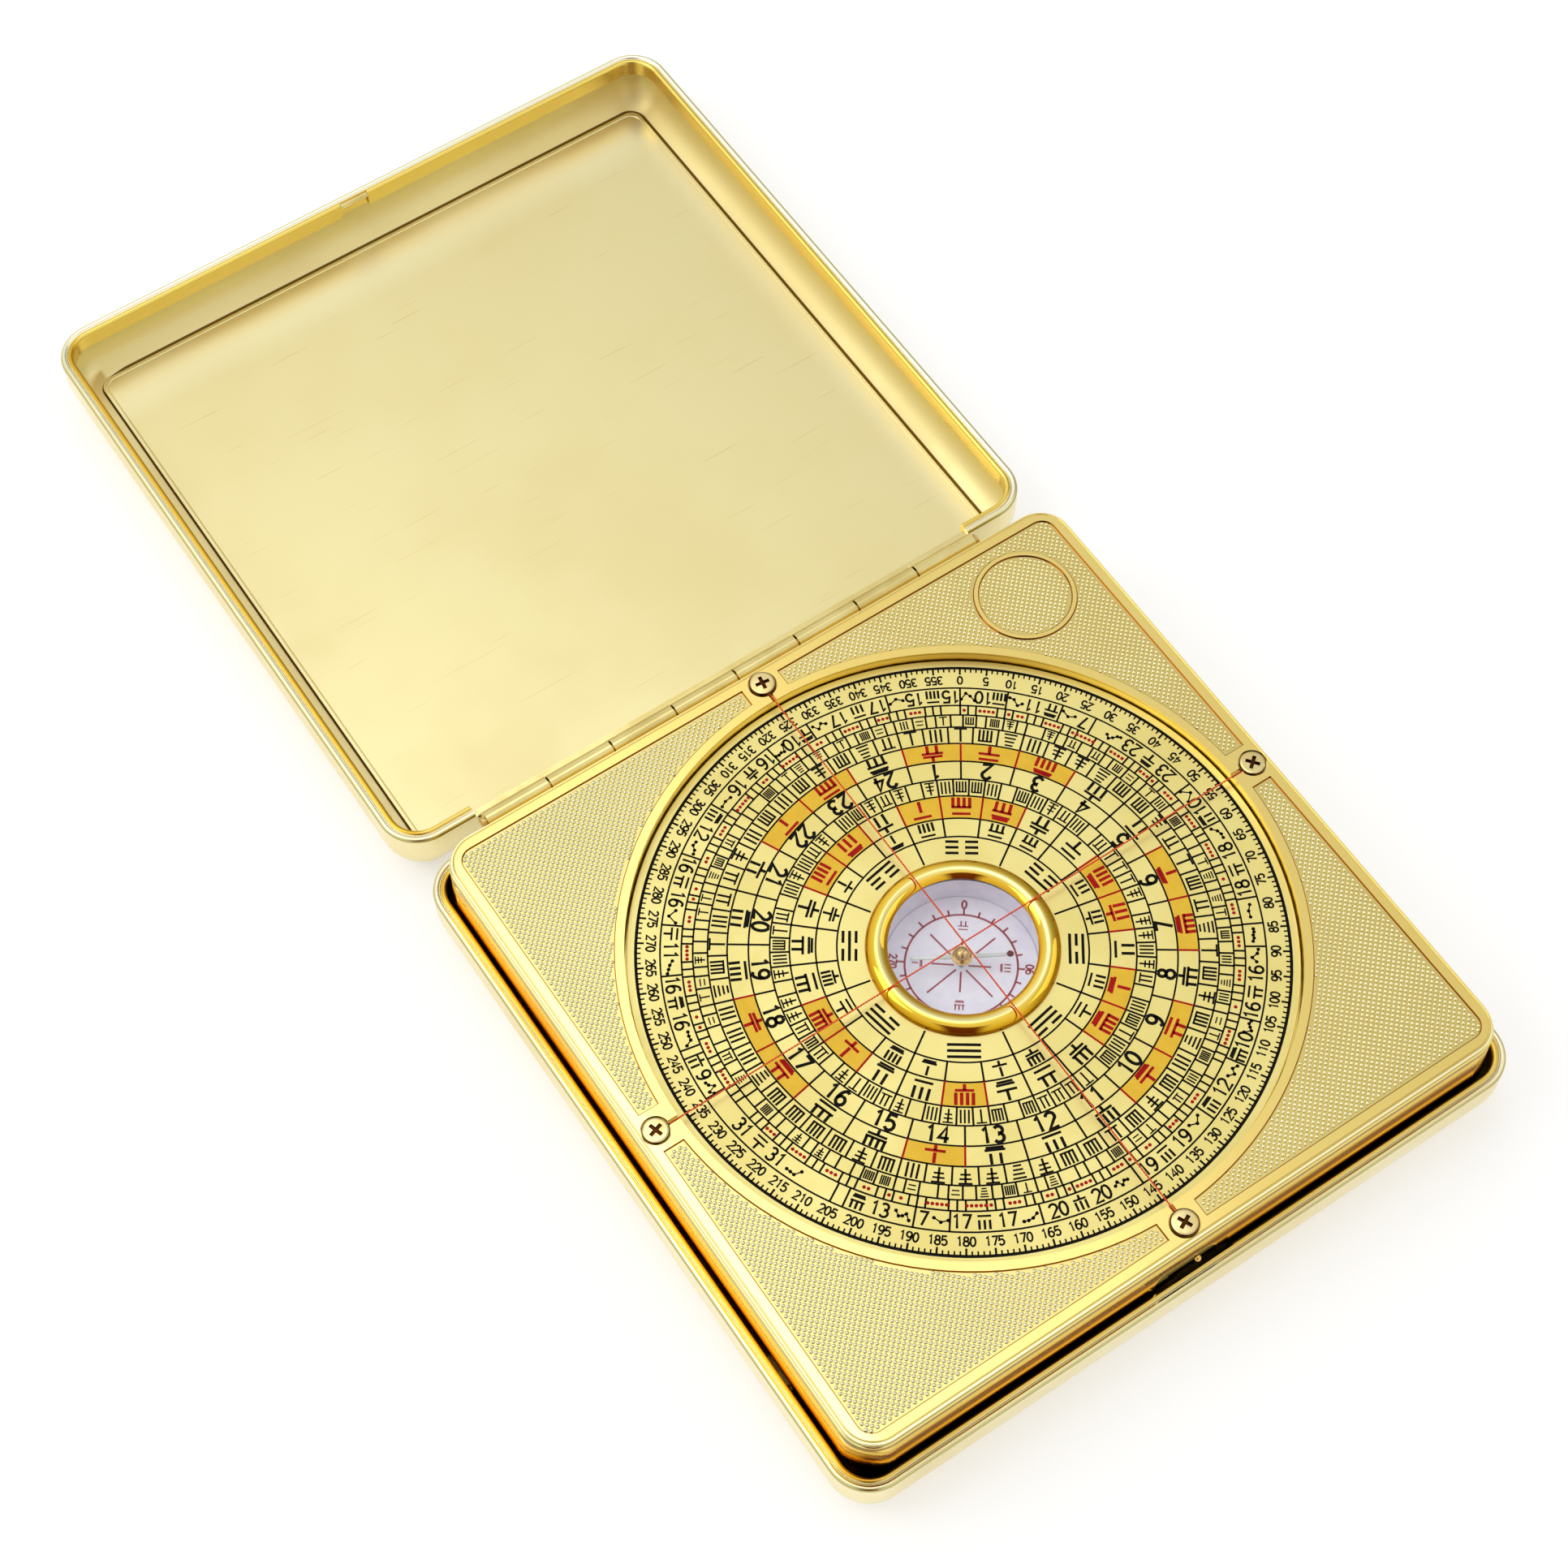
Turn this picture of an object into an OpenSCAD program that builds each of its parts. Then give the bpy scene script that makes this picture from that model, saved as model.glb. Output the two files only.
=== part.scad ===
// Feng shui compass in a hinged clamshell case, shown lying open.
// The tray rests on the table, the lid lies open behind it along +Y, and the hinge runs along X.
// The origin is on the table, under the axis of the dial.

/* [Case] */
// Width of the case, along the hinge
case_w = 98.6; // [97.8:0.1:104]
// Depth of one half of the case, from the hinge side to the front
case_d = 97.8; // [97:0.1:104]
// Height of one half of the case
half_h = 9.3; // [8.8:0.1:11]
// Radius of the case's corners, seen from above
corner_r = 5.5; // [5:0.1:8]
// Radius between the wall and the flat bottom
bottom_r = 5.3; // [3.5:0.1:5.4]
// Thickness of the case's sheet
sheet = 0.6; // [0.5:0.05:0.8]
// Gap between the two rims when the case is closed
rim_gap = 0.3; // [0.2:0.05:0.6]

/* [Rim strip] */
// Width of the moulding along each rim
strip_w = 1.75; // [1.6:0.05:2]
// Height of the moulding's inner leg
strip_h = 2.5; // [2:0.1:2.9]
// Radius of the moulding's outer bead
bead_r = 0.45; // [0.4:0.01:0.5]
// Radius of the groove between the two beads
strip_groove_r = 0.1; // [0.05:0.01:0.14]

/* [Lid lining] */
// Distance from the case's side to the lining panel
lining_side = 4.4; // [4:0.1:6]
// Distance from the case's front to the lining panel
lining_front = 3.9; // [3.8:0.1:6]
// Thickness of the lining panel's edge
lining_t = 0.4; // [0.3:0.05:0.6]
// Corner radius of the lining panel
lining_r = 1.8; // [1:0.1:4]

/* [Hinge] */
// Number of knuckles, shared by the two leaves
knuckle_n = 8; // [4:2:12]
// Length of the whole row of knuckles
hinge_l = 76.2; // [60:0.2:84]
// Outer radius of a knuckle
knuckle_r = 1.3; // [1.2:0.01:1.5]
// Slit between two knuckles
knuckle_slit = 0.3; // [0.2:0.05:0.5]
// Radius of the hinge pin
pin_r = 0.55; // [0.4:0.05:0.65]
// Running clearance round the hinge pin
pin_play = 0.05; // [0.02:0.01:0.08]
// Distance from the case's back to the hinge axis
hinge_out = 1.7; // [1.6:0.05:2.2]
// Thickness of a hinge leaf
leaf_t = 0.5; // [0.4:0.05:0.7]

/* [Face plate] */
// Height of the face plate above the tray's rim
plate_rise = 7.5; // [6.8:0.1:7.8]
// Gap between the rim strip and the flat top of the plate
plate_gap = 0.85; // [0.8:0.05:1.4]
// Distance that the foot of the plate's wall stands out past its flat top
plate_flare = 0.62; // [0.5:0.02:0.75]
// Distance that the wall leans in from its foot up to the beads
wall_draft = 0.35; // [0.2:0.05:0.5]
// Radius of the bead along the plate's top edge
edge_bead_r = 0.3; // [0.25:0.01:0.35]
// Radius of the second bead, below it
step_bead_r = 0.28; // [0.22:0.01:0.32]
// Depth of the relief in the middle of each wall, below the rim
wall_relief = 0.35; // [0.2:0.05:0.5]
// Length of the full-depth wall at each corner
corner_pad = 13; // [10:0.5:20]
// Corner radius of the flat top
plate_r = 4.2; // [3:0.1:6]
// Thickness of the plate's top
plate_t = 1.4; // [1.3:0.1:1.6]
// Thickness of the plate's wall
skirt_t = 1.4; // [1.2:0.1:1.8]
// Width of the smooth border round the mesh fields
mesh_border = 1.5; // [1.2:0.05:2]
// Depth of the mesh fields
mesh_deep = 0.2; // [0.1:0.05:0.3]
// Width of the outline groove round each mesh field
outline_w = 0.15; // [0.1:0.01:0.3]
// Depth of that outline below the mesh
outline_deep = 0.12; // [0.05:0.01:0.2]
// Half the width of the smooth bridge at each screw
mesh_bridge = 2.7; // [2.3:0.1:3.5]
// Radius of the embossed ring in the corner, to its middle
ring_r = 6.4; // [4:0.1:6.6]
// Width of the embossed ring
ring_w = 0.5; // [0.3:0.05:0.8]
// Distance of the embossed ring's centre from the plate's right edge
ring_side = 11; // [9:0.1:11]
// Distance of the embossed ring's centre from the plate's back edge
ring_back = 10; // [9:0.1:11]
// Distance of the plate's legs from its edges
leg_inset = 12.6; // [11:0.1:13]
// Radius of the legs under the plate
leg_r = 2.4; // [1.5:0.1:2.8]

/* [Dial] */
// Distance from the dial's edge to the nearest side of the case
dial_border = 7.75; // [7.7:0.05:12]
// Thickness of the dial
dial_t = 1.4; // [1:0.1:1.6]
// Depth of the dial's face below the plate's top
dial_deep = 1.7; // [1.4:0.1:2]
// Gap between the dial and the wall of its well
dial_gap = 0.15; // [0.1:0.05:0.5]
// Width of the smooth lip round the well
lip_w = 1.1; // [0.6:0.05:1.3]
// Thickness of the well's wall and floor
well_t = 1.2; // [0.9:0.1:1.3]
// Height of the land that the dial turns on
land_h = 0.25; // [0.15:0.05:0.4]
// Running clearance of the dial on its land and in its bore
dial_play = 0.05; // [0.03:0.01:0.08]

/* [Compass capsule] */
// Outer radius of the cup, where it turns in the plate
cup_r = 11; // [10:0.1:13]
// Thickness of the cup's wall
cup_wall = 1.4; // [1.3:0.1:1.8]
// Depth of the cup below the dial's face
cup_deep = 6.6; // [6.2:0.1:7.2]
// Thickness of the cup's floor
cup_floor = 1.3; // [1.1:0.1:1.5]
// Height of the cup's edge above the dial's face
cup_edge = 0.25; // [0.1:0.05:0.4]
// Thickness of the card
card_t = 0.3; // [0.2:0.05:0.5]
// Thickness of the glass
glass_t = 0.9; // [0.6:0.1:1.2]
// Width of the glass's seat in the cup
glass_seat = 0.65; // [0.4:0.05:0.8]
// Thickness of the seal ring on the glass
seal_t = 0.2; // [0.1:0.05:0.3]
// Radius of the bezel's opening
bezel_in_r = 9.1; // [8.5:0.1:9.3]
// Width of the bezel outside the cup
bezel_over = 1; // [0.8:0.05:1.4]
// Height of the bezel above the dial's face
bezel_h = 1.15; // [1:0.01:1.2]
// Width of the retaining ring
keeper_w = 2; // [1.4:0.1:3]
// Thickness of the retaining ring
keeper_t = 0.7; // [0.5:0.1:0.9]
// Depth of the retaining ring's groove in the cup
keeper_groove = 0.4; // [0.2:0.05:0.6]

/* [Needle] */
// Length of the needle
needle_l = 12.9; // [10:0.1:17]
// Width of the needle in the middle
needle_w = 0.6; // [0.4:0.05:1]
// Width of the needle at its ends
needle_tip_w = 0.36; // [0.25:0.02:0.6]
// Thickness of the needle
needle_t = 0.2; // [0.12:0.01:0.3]
// Height of the needle above the card
needle_up = 2.4; // [2:0.1:3]
// Radius of the pivot pin
pivot_r = 0.3; // [0.25:0.01:0.4]
// Running clearance round the pivot pin
pivot_play = 0.06; // [0.03:0.01:0.09]
// Outer radius of the jewel
jewel_r = 0.62; // [0.55:0.01:0.7]
// Radius of the cap's foot
cap_foot_r = 1.35; // [1:0.05:1.7]
// Radius of the cap's dome
cap_dome_r = 0.95; // [0.75:0.05:1.2]
// Radius of the bead on the needle's end
bead_mark_r = 0.42; // [0.3:0.02:0.6]
// Turn of the needle from +X, against the clock
needle_turn = -31.2; // [-180:0.1:180]

/* [Screws and threads] */
// Radius of a screw's head
head_r = 1.72; // [1.5:0.02:1.9]
// Thickness of a screw's head
head_t = 0.45; // [0.35:0.05:0.6]
// Radius of a screw's shank
shank_r = 0.8; // [0.6:0.05:0.9]
// Length of a screw's shank
shank_l = 2.4; // [2:0.1:3]
// Distance of the screws from the edge of the flat top
screw_inset = 2.2; // [2.1:0.05:2.4]
// Gap round a screw's head in its seat
head_gap = 0.16; // [0.1:0.02:0.3]
// Length of the arms of the cross in a screw's head
cross_l = 1.9; // [1.6:0.1:2.2]
// Width of the arms of the cross
cross_w = 0.5; // [0.4:0.05:0.6]
// Depth of the cross
cross_deep = 0.3; // [0.2:0.05:0.4]
// Diameter of the crosshair threads
thread_d = 0.25; // [0.15:0.01:0.3]
// Width of the slot that a thread leaves its screw through
slot_w = 0.6; // [0.45:0.05:0.8]

/* [Catch and clips] */
// Place of the lid's catch along the front, from the middle
catch_x = -0.9; // [-5:0.1:5]
// Distance of the nub from the middle of the catch
nub_shift = 1.4; // [-1.2:0.1:1.4]
// Distance of the recess's middle from the nub
recess_shift = 0.7; // [-2:0.1:2]
// Half the width of the recess under the catch nub
recess_half = 4.4; // [3:0.1:8]
// Depth of the recess
recess_deep = 0.9; // [0.5:0.1:1]
// Height of the recess's top above the rim
recess_top = 0.7; // [0.5:0.1:0.9]
// Radius of the catch nub
nub_r = 0.5; // [0.45:0.01:0.6]
// Gap between the nub and the edge of the closed lid's catch
nub_lift = 0.15; // [0.1:0.05:0.3]
// Distance that the nub reaches past the lid's strip
nub_bite = 0.2; // [0.1:0.05:0.3]
// Width of the lid's catch
catch_w = 4.4; // [3:0.1:7]
// Height of the lid's catch
catch_h = 0.75; // [0.6:0.05:0.9]
// Thickness of the lid's catch
catch_t = 0.5; // [0.3:0.05:0.6]
// Width of a side clip
clip_w = 4.2; // [3:0.1:6]
// Thickness of a side clip
clip_t = 0.35; // [0.25:0.05:0.4]
// Distance from the case's front to the middle of the left clip
clip_front = 18.9; // [17.9:0.1:28.9]
// Depth of the clips' visible edge below the rim
clip_drop = 1.1; // [0.8:0.1:1.6]

/* [Hidden] */
$fn = 96;
eps = 0.01;

half_w = case_w / 2;
half_d = case_d / 2;
wall_in_w = half_w - sheet;
wall_in_d = half_d - sheet;
hinge_y = half_d + hinge_out;
hinge_z = half_h + rim_gap / 2;
knuckle_pitch = hinge_l / knuckle_n;
hinge_room = hinge_l / 2 + 0.4;

// Half sizes of the plate: flat top, wall and relieved wall, inside the rim strip
top_w = half_w - strip_w - plate_gap;
top_d = half_d - strip_w - plate_gap;
wall_w = top_w + plate_flare;
wall_d = top_d + plate_flare;
wall_r = plate_r + plate_flare;
plate_z = half_h + plate_rise;
slab_z = plate_z - plate_t;
edge_z = plate_z - 1.15;
skirt_z = bottom_r * 0.42;
relief_z = half_h - 0.1;
mesh_w = top_w - mesh_border;
mesh_d = top_d - mesh_border;

dial_r = min(half_w, half_d) - dial_border;
dial_z = plate_z - dial_deep;
disc_z = dial_z - dial_t;
land_z = disc_z - dial_play;
floor_z = land_z - land_h;
well_z = floor_z - well_t;
well_r = dial_r + dial_gap;
bore_r = cup_r + dial_play;
land_r = cup_r + 4;

cup_z = dial_z - cup_deep;
cup_in_r = cup_r - cup_wall;
cup_top_z = dial_z + cup_edge;
card_z = cup_z + cup_floor;
card_top_z = card_z + card_t;
glass_r = cup_in_r + glass_seat;
glass_z = cup_top_z - glass_t;
bezel_top_z = dial_z + bezel_h;
bezel_r = cup_r + bezel_over;
keeper_z = well_z - dial_play - keeper_t;
keeper_in_r = cup_r - keeper_groove;

needle_z = card_top_z + needle_up;
jewel_z = needle_z - 0.2;
cap_z = needle_z + needle_t;
tip_z = cap_z + 0.35;
pin_cone = 0.5;

// The lower thread lies along X and the upper one along Y, each on the floor of its screws' seats
lower_seat_z = plate_z - 2 * thread_d;
upper_seat_z = plate_z - thread_d;
lower_thread_z = lower_seat_z + thread_d / 2;
upper_thread_z = upper_seat_z + thread_d / 2;
screw_x = top_w - screw_inset;
screw_y = top_d - screw_inset;
seat_r = head_r + head_gap;
boss_r = shank_r + 1.1;

// The nub stands above the edge of the closed lid's catch
nub_x = catch_x + nub_shift;
nub_z = half_h + rim_gap + catch_h + nub_lift + nub_r;
recess_x = nub_x + recess_shift;
strip_in_w = half_w - strip_w;
strip_in_d = half_d - strip_w;
relief_d = wall_d - wall_relief;
nub_seat_d = wall_d - wall_draft * (nub_z + nub_r - relief_z) / (edge_z - relief_z) - 0.03;
clip_z = bottom_r + 0.1;
clip_y = half_d - clip_front;

// Rounded rectangle from its half sizes and its corner radius
module round_rect(hx, hy, r) {
    square([2 * hx, 2 * (hy - r)], center = true);
    square([2 * (hx - r), 2 * hy], center = true);
    for (sx = [-1, 1], sy = [-1, 1]) translate([sx * (hx - r), sy * (hy - r)]) circle(r);
}

module slab(hx, hy, r, z, h) {
    translate([0, 0, z]) linear_extrude(h) round_rect(hx, hy, r);
}

// Cross-section of half a pan: a wall and a flat bottom joined by an arc
module pan_half(half, h, f) {
    translate([0, f]) square([half, h - f]);
    square([half - f, h]);
    intersection() {
        translate([half - f, f]) circle(f);
        square([half, h]);
    }
}

module pan_section(half, h, f) {
    pan_half(half, h, f);
    mirror([1, 0]) pan_half(half, h, f);
}

// Solid pan with rounded corners and a rounded bottom edge
module pan(hx, hy, r, h, f) {
    translate([0, hy - r, 0]) rotate([90, 0, 0]) linear_extrude(2 * (hy - r)) pan_section(hx, h, f);
    rotate(90) translate([0, hx - r, 0]) rotate([90, 0, 0])
        linear_extrude(2 * (hx - r)) pan_section(hy, h, f);
    for (sx = [-1, 1], sy = [-1, 1]) translate([sx * (hx - r), sy * (hy - r), 0])
        rotate_extrude() pan_half(r, h, min(f, r - 0.05));
}

// Carries a flat profile round a rounded rectangle; the profile's x points outward from its edge
module frame_sweep(hx, hy, r) {
    for (k = [0 : 3]) {
        a = k % 2 == 0 ? hx : hy;
        b = k % 2 == 0 ? hy : hx;
        rotate(90 * k) {
            translate([a, b - r, 0]) rotate([90, 0, 0]) linear_extrude(2 * (b - r)) children();
            translate([a - r, b - r, 0]) rotate_extrude(angle = 90)
                translate([r, 0]) children();
        }
    }
}

// Puts a piece that is drawn in the tray's place into the open lid's place
module in_lid() {
    translate([0, 2 * hinge_y, 0]) mirror([0, 1, 0]) children();
}

// Box between two corners
module box(a, b) {
    translate(a) cube(b - a);
}

module case_shell() {
    difference() {
        pan(half_w, half_d, corner_r, half_h - bead_r, bottom_r);
        translate([0, 0, sheet])
            pan(wall_in_w, wall_in_d, corner_r - sheet, half_h, bottom_r - sheet);
    }
}

// Section of the rim moulding: outer bead, groove, inner bead and leg, over the sheet's edge
module strip_section() {
    inner_r = (strip_w - 2 * bead_r) / 2;
    difference() {
        union() {
            translate([-bead_r, half_h - bead_r]) circle(bead_r, $fn = 48);
            translate([-strip_w + inner_r, half_h - inner_r]) circle(inner_r, $fn = 48);
            translate([-strip_w, half_h - strip_h]) square([strip_w - bead_r, strip_h - inner_r]);
        }
        translate([-sheet, half_h - strip_h - 1]) square([sheet + 1, strip_h + 1 - bead_r]);
        translate([-2 * bead_r, half_h - strip_groove_r]) circle(strip_groove_r, $fn = 24);
    }
}

// The moulding is cut away where the hinge leaf takes its place
module rim_strip() {
    difference() {
        frame_sweep(half_w, half_d, corner_r) strip_section();
        box([-hinge_room, half_d - strip_w - 1, 0], [hinge_room, half_d + 1, half_h + 1]);
    }
}

module knuckle_span(k) {
    translate([(k - knuckle_n / 2) * knuckle_pitch + knuckle_slit / 2, 0, 0])
        rotate([90, 0, 90]) linear_extrude(knuckle_pitch - knuckle_slit) children();
}

// Every other knuckle, starting from the one numbered first, on a strip along the back wall
module hinge_leaf(first) {
    leaf_top = hinge_z - knuckle_r - 0.35;
    difference() {
        union() {
            box([-hinge_l / 2, half_d, leaf_top - 1.6], [hinge_l / 2, half_d + leaf_t, leaf_top + eps]);
            for (k = [first : 2 : knuckle_n - 1]) knuckle_span(k) {
                translate([hinge_y, hinge_z]) circle(knuckle_r, $fn = 64);
                translate([half_d, leaf_top - eps])
                    square([hinge_out - knuckle_r + 0.35, hinge_z - leaf_top + eps]);
            }
            box([-hinge_l / 2, wall_in_d, half_h - bead_r], [hinge_l / 2, half_d + 0.1, half_h]);
        }
        translate([-hinge_l, hinge_y, hinge_z]) rotate([0, 90, 0])
            cylinder(r = pin_r + pin_play, h = 2 * hinge_l, $fn = 48);
    }
}

module tray_shell() {
    color("khaki") case_shell();
}

module tray_rim_strip() {
    color("palegoldenrod") difference() {
        rim_strip();
        box([recess_x - recess_half, -strip_in_d - 0.4, 0],
            [recess_x + recess_half, -strip_in_d + 1, half_h + 1]);
    }
}

module tray_hinge_leaf() {
    color("khaki") hinge_leaf(0);
}

// Straight pin with a peened head past each end of the row of knuckles
module hinge_pin() {
    color("goldenrod") translate([0, hinge_y, hinge_z]) rotate([0, 90, 0]) {
        cylinder(r = pin_r, h = hinge_l + 0.6, center = true, $fn = 48);
        for (s = [-1, 1]) translate([0, 0, s * (hinge_l / 2 + 0.3)])
            cylinder(r = pin_r + 0.35, h = 0.4, center = true, $fn = 48);
    }
}

// Edge of the face plate: a round bead with a second one below it, a step further out
module plate_edge_section() {
    translate([0.1 - edge_bead_r, -edge_bead_r]) circle(edge_bead_r, $fn = 48);
    translate([plate_flare - wall_draft + 0.07 - step_bead_r, -0.85]) circle(step_bead_r, $fn = 48);
    translate([-1, -1.4]) square([1 + plate_flare - wall_draft - 0.1, 1.1 - edge_bead_r]);
}

// Wall of the plate: it leans in above the rim, and below it is relieved between the corner pads
module plate_skirt() {
    difference() {
        frame_sweep(wall_w, wall_d, wall_r) polygon([
            [-skirt_t, skirt_z], [0, skirt_z], [0, relief_z], [-wall_draft, edge_z],
            [-wall_draft - 0.5, plate_z - 0.9], [-skirt_t, plate_z - 0.9]
        ]);
        for (s = [-1, 1]) {
            translate([s * wall_w, 0, 0])
                cube([2 * wall_relief, 2 * (wall_d - corner_pad), 2 * relief_z], center = true);
            translate([0, s * wall_d, 0])
                cube([2 * (wall_w - corner_pad), 2 * wall_relief, 2 * relief_z], center = true);
        }
    }
}

// The four mesh fields: the area between border and lip, less the bridges and the embossed ring,
// drawn in from all these edges by a distance
module mesh_fields(inset = 0) {
    difference() {
        round_rect(mesh_w - inset, mesh_d - inset, 2 - inset);
        circle(well_r + lip_w + inset, $fn = 180);
        square([2 * (mesh_bridge + inset), 4 * half_d], center = true);
        square([4 * half_w, 2 * (mesh_bridge + inset)], center = true);
        translate([top_w - ring_side, top_d - ring_back]) difference() {
            circle(ring_r + ring_w / 2 + inset);
            circle(ring_r - ring_w / 2 - inset);
        }
    }
}

module screw_places() {
    for (s = [-1, 1]) {
        translate([s * screw_x, 0, 0]) children();
        translate([0, s * screw_y, 0]) children();
    }
}

module face_plate() {
    color("gold") difference() {
        union() {
            slab(top_w, top_d, plate_r, slab_z, plate_t);
            translate([0, 0, plate_z]) frame_sweep(top_w, top_d, plate_r) plate_edge_section();
            plate_skirt();
            // tub of the well
            translate([0, 0, well_z]) cylinder(r = well_r + well_t, h = slab_z + 0.5 - well_z, $fn = 180);
            // legs that stand on the tray's floor
            for (sx = [-1, 1], sy = [-1, 1])
                translate([sx * (top_w - leg_inset), sy * (top_d - leg_inset), sheet])
                    cylinder(r = leg_r, h = slab_z + 0.5 - sheet);
            // bosses for the screws
            screw_places() translate([0, 0, plate_z - shank_l - 2])
                cylinder(r = boss_r, h = slab_z + 0.5 - (plate_z - shank_l - 2));
            // block behind the recess
            box([recess_x - recess_half - 1.2, -wall_d + skirt_t - 0.5, skirt_z],
                [recess_x + recess_half + 1.2, -wall_d + skirt_t + 1.3, half_h + 3]);
        }
        // well, land and bearing bore
        translate([0, 0, floor_z]) difference() {
            cylinder(r = well_r, h = plate_z, $fn = 180);
            cylinder(r = land_r, h = land_h);
        }
        cylinder(r = bore_r, h = 2 * plate_z, $fn = 128);
        // mesh fields with a fine outline, and the groove inside the bead
        translate([0, 0, plate_z - mesh_deep]) linear_extrude(1) mesh_fields();
        translate([0, 0, plate_z - mesh_deep - outline_deep]) linear_extrude(1) difference() {
            mesh_fields();
            mesh_fields(outline_w);
        }
        translate([0, 0, plate_z]) frame_sweep(top_w, top_d, plate_r)
            translate([-0.26, 0.01]) circle(0.11, $fn = 16);
        // screw seats, holes and thread slots
        for (s = [-1, 1]) {
            translate([s * screw_x, 0, lower_seat_z]) cylinder(r = seat_r, h = 1);
            translate([0, s * screw_y, upper_seat_z]) cylinder(r = seat_r, h = 1);
        }
        screw_places() translate([0, 0, lower_seat_z - shank_l]) cylinder(r = shank_r, h = shank_l + 1);
        box([-screw_x, -slot_w / 2, lower_seat_z], [screw_x, slot_w / 2, plate_z + 1]);
        box([-slot_w / 2, -screw_y, upper_seat_z], [slot_w / 2, screw_y, plate_z + 1]);
        // recess under the catch nub, and the nub's hole
        translate([recess_x, -relief_d + recess_deep, 0]) rotate([90, 0, 0]) linear_extrude(3) {
            translate([-recess_half, skirt_z - 1]) square([2 * recess_half, half_h - skirt_z]);
            translate([-recess_half + 2, half_h - 2]) square([2 * recess_half - 4, recess_top + 2]);
            for (s = [-1, 1]) translate([s * (recess_half - 2), half_h + recess_top - 2]) circle(2);
        }
        translate([nub_x, -nub_seat_d, nub_z]) rotate([90, 0, 0]) {
            cylinder(r = nub_r / 2, h = 1.2, center = true, $fn = 32);
            cylinder(r = nub_r + 0.08, h = 1, $fn = 48);
        }
        // windows that the side clips' feet reach into
        for (t = [0, 180]) rotate(t) clip_window();
    }
}

// Cross-head screw, standing on its seat; the cross is turned by the given angle
module screw(seat_z, turn) {
    translate([0, 0, seat_z]) difference() {
        union() {
            rotate_extrude() polygon([
                [0, 0], [head_r, 0], [head_r, head_t * 0.6], [head_r - 0.12, head_t * 0.9],
                [head_r - 0.35, head_t], [0, head_t + 0.03]
            ]);
            translate([0, 0, -shank_l + 0.3]) cylinder(r = shank_r, h = shank_l);
        }
        rotate(turn) for (q = [0, 90]) rotate(q) translate([0, 0, head_t])
            cube([cross_l, cross_w, 2 * cross_deep], center = true);
    }
}

module plate_screws() {
    lower_z = lower_seat_z + thread_d;
    upper_z = upper_seat_z + thread_d;
    color("wheat") {
        translate([-screw_x, 0, 0]) screw(lower_z, 17);
        translate([screw_x, 0, 0]) screw(lower_z, 38);
        translate([0, -screw_y, 0]) screw(upper_z, 25);
        translate([0, screw_y, 0]) screw(upper_z, -8);
    }
}

// Taut thread along X, clamped under the screw heads at both ends
module crosshair_thread_lower() {
    span = screw_x - shank_r - 0.05;
    color("orangered") translate([0, 0, lower_thread_z]) rotate([0, 90, 0])
        cylinder(d = thread_d, h = 2 * span, center = true, $fn = 24);
}

// Taut thread along Y, one thread's thickness higher
module crosshair_thread_upper() {
    span = screw_y - shank_r - 0.05;
    color("orangered") translate([0, 0, upper_thread_z]) rotate([90, 0, 0])
        cylinder(d = thread_d, h = 2 * span, center = true, $fn = 24);
}

// Window in the plate's wall for a clip's foot
module clip_window() {
    box([-wall_w - 1, -clip_y - clip_w / 2 - 0.3, clip_z - 0.3],
        [-wall_w + skirt_t + 0.2, -clip_y + clip_w / 2 + 0.3, clip_z + clip_t + 0.3]);
}

// Bent spring tab: its barb sits under the rim strip's leg and its foot in the window
module clip() {
    y_a = -clip_y - clip_w / 2;
    y_b = -clip_y + clip_w / 2;
    leg_z = half_h - strip_h;
    box([-strip_in_w, y_a, clip_z], [-strip_in_w + clip_t, y_b, half_h - clip_drop]);
    box([-wall_in_w, y_a, leg_z - clip_t], [-strip_in_w + clip_t / 2, y_b, leg_z]);
    box([-strip_in_w, y_a, clip_z], [-wall_w + skirt_t - 0.2, y_b, clip_z + clip_t]);
}

module side_clips() {
    color("lightyellow") for (t = [0, 180]) rotate(t) clip();
}

// Round-nosed pin pressed into the plate's front wall
module catch_nub() {
    reach = strip_in_d - nub_seat_d + nub_bite;
    color("gold") translate([nub_x, -nub_seat_d, nub_z]) rotate([90, 0, 0]) {
        translate([0, 0, -0.6]) cylinder(r = nub_r / 2, h = 0.6 + eps, $fn = 32);
        rotate_extrude($fn = 48) intersection() {
            translate([0, reach - nub_r]) circle(nub_r, $fn = 48);
            square([nub_r, reach]);
        }
        cylinder(r = nub_r, h = reach - nub_r, $fn = 48);
    }
}

module lid_shell() {
    color("khaki") in_lid() case_shell();
}

module lid_rim_strip() {
    color("palegoldenrod") in_lid() difference() {
        rim_strip();
        box([catch_x - catch_w / 2, -strip_in_d - catch_t, 0],
            [catch_x + catch_w / 2, -strip_in_d + 1, half_h + 1]);
    }
}

// Flat sheet with a stepped underside that sits on the pan's floor, and a fine groove near its edge
module lid_lining_panel() {
    hx = half_w - lining_side;
    hy = half_d - lining_front;
    step = 0.3;
    color("moccasin") in_lid() difference() {
        union() {
            slab(hx, hy, lining_r, sheet + step, lining_t);
            slab(hx - 2, hy - 2, lining_r, sheet, step + eps);
        }
        translate([0, 0, sheet + step + lining_t])
            frame_sweep(hx - 0.5, hy - 0.5, lining_r) circle(0.1, $fn = 16);
    }
}

module lid_hinge_leaf() {
    color("khaki") in_lid() hinge_leaf(1);
}

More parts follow.
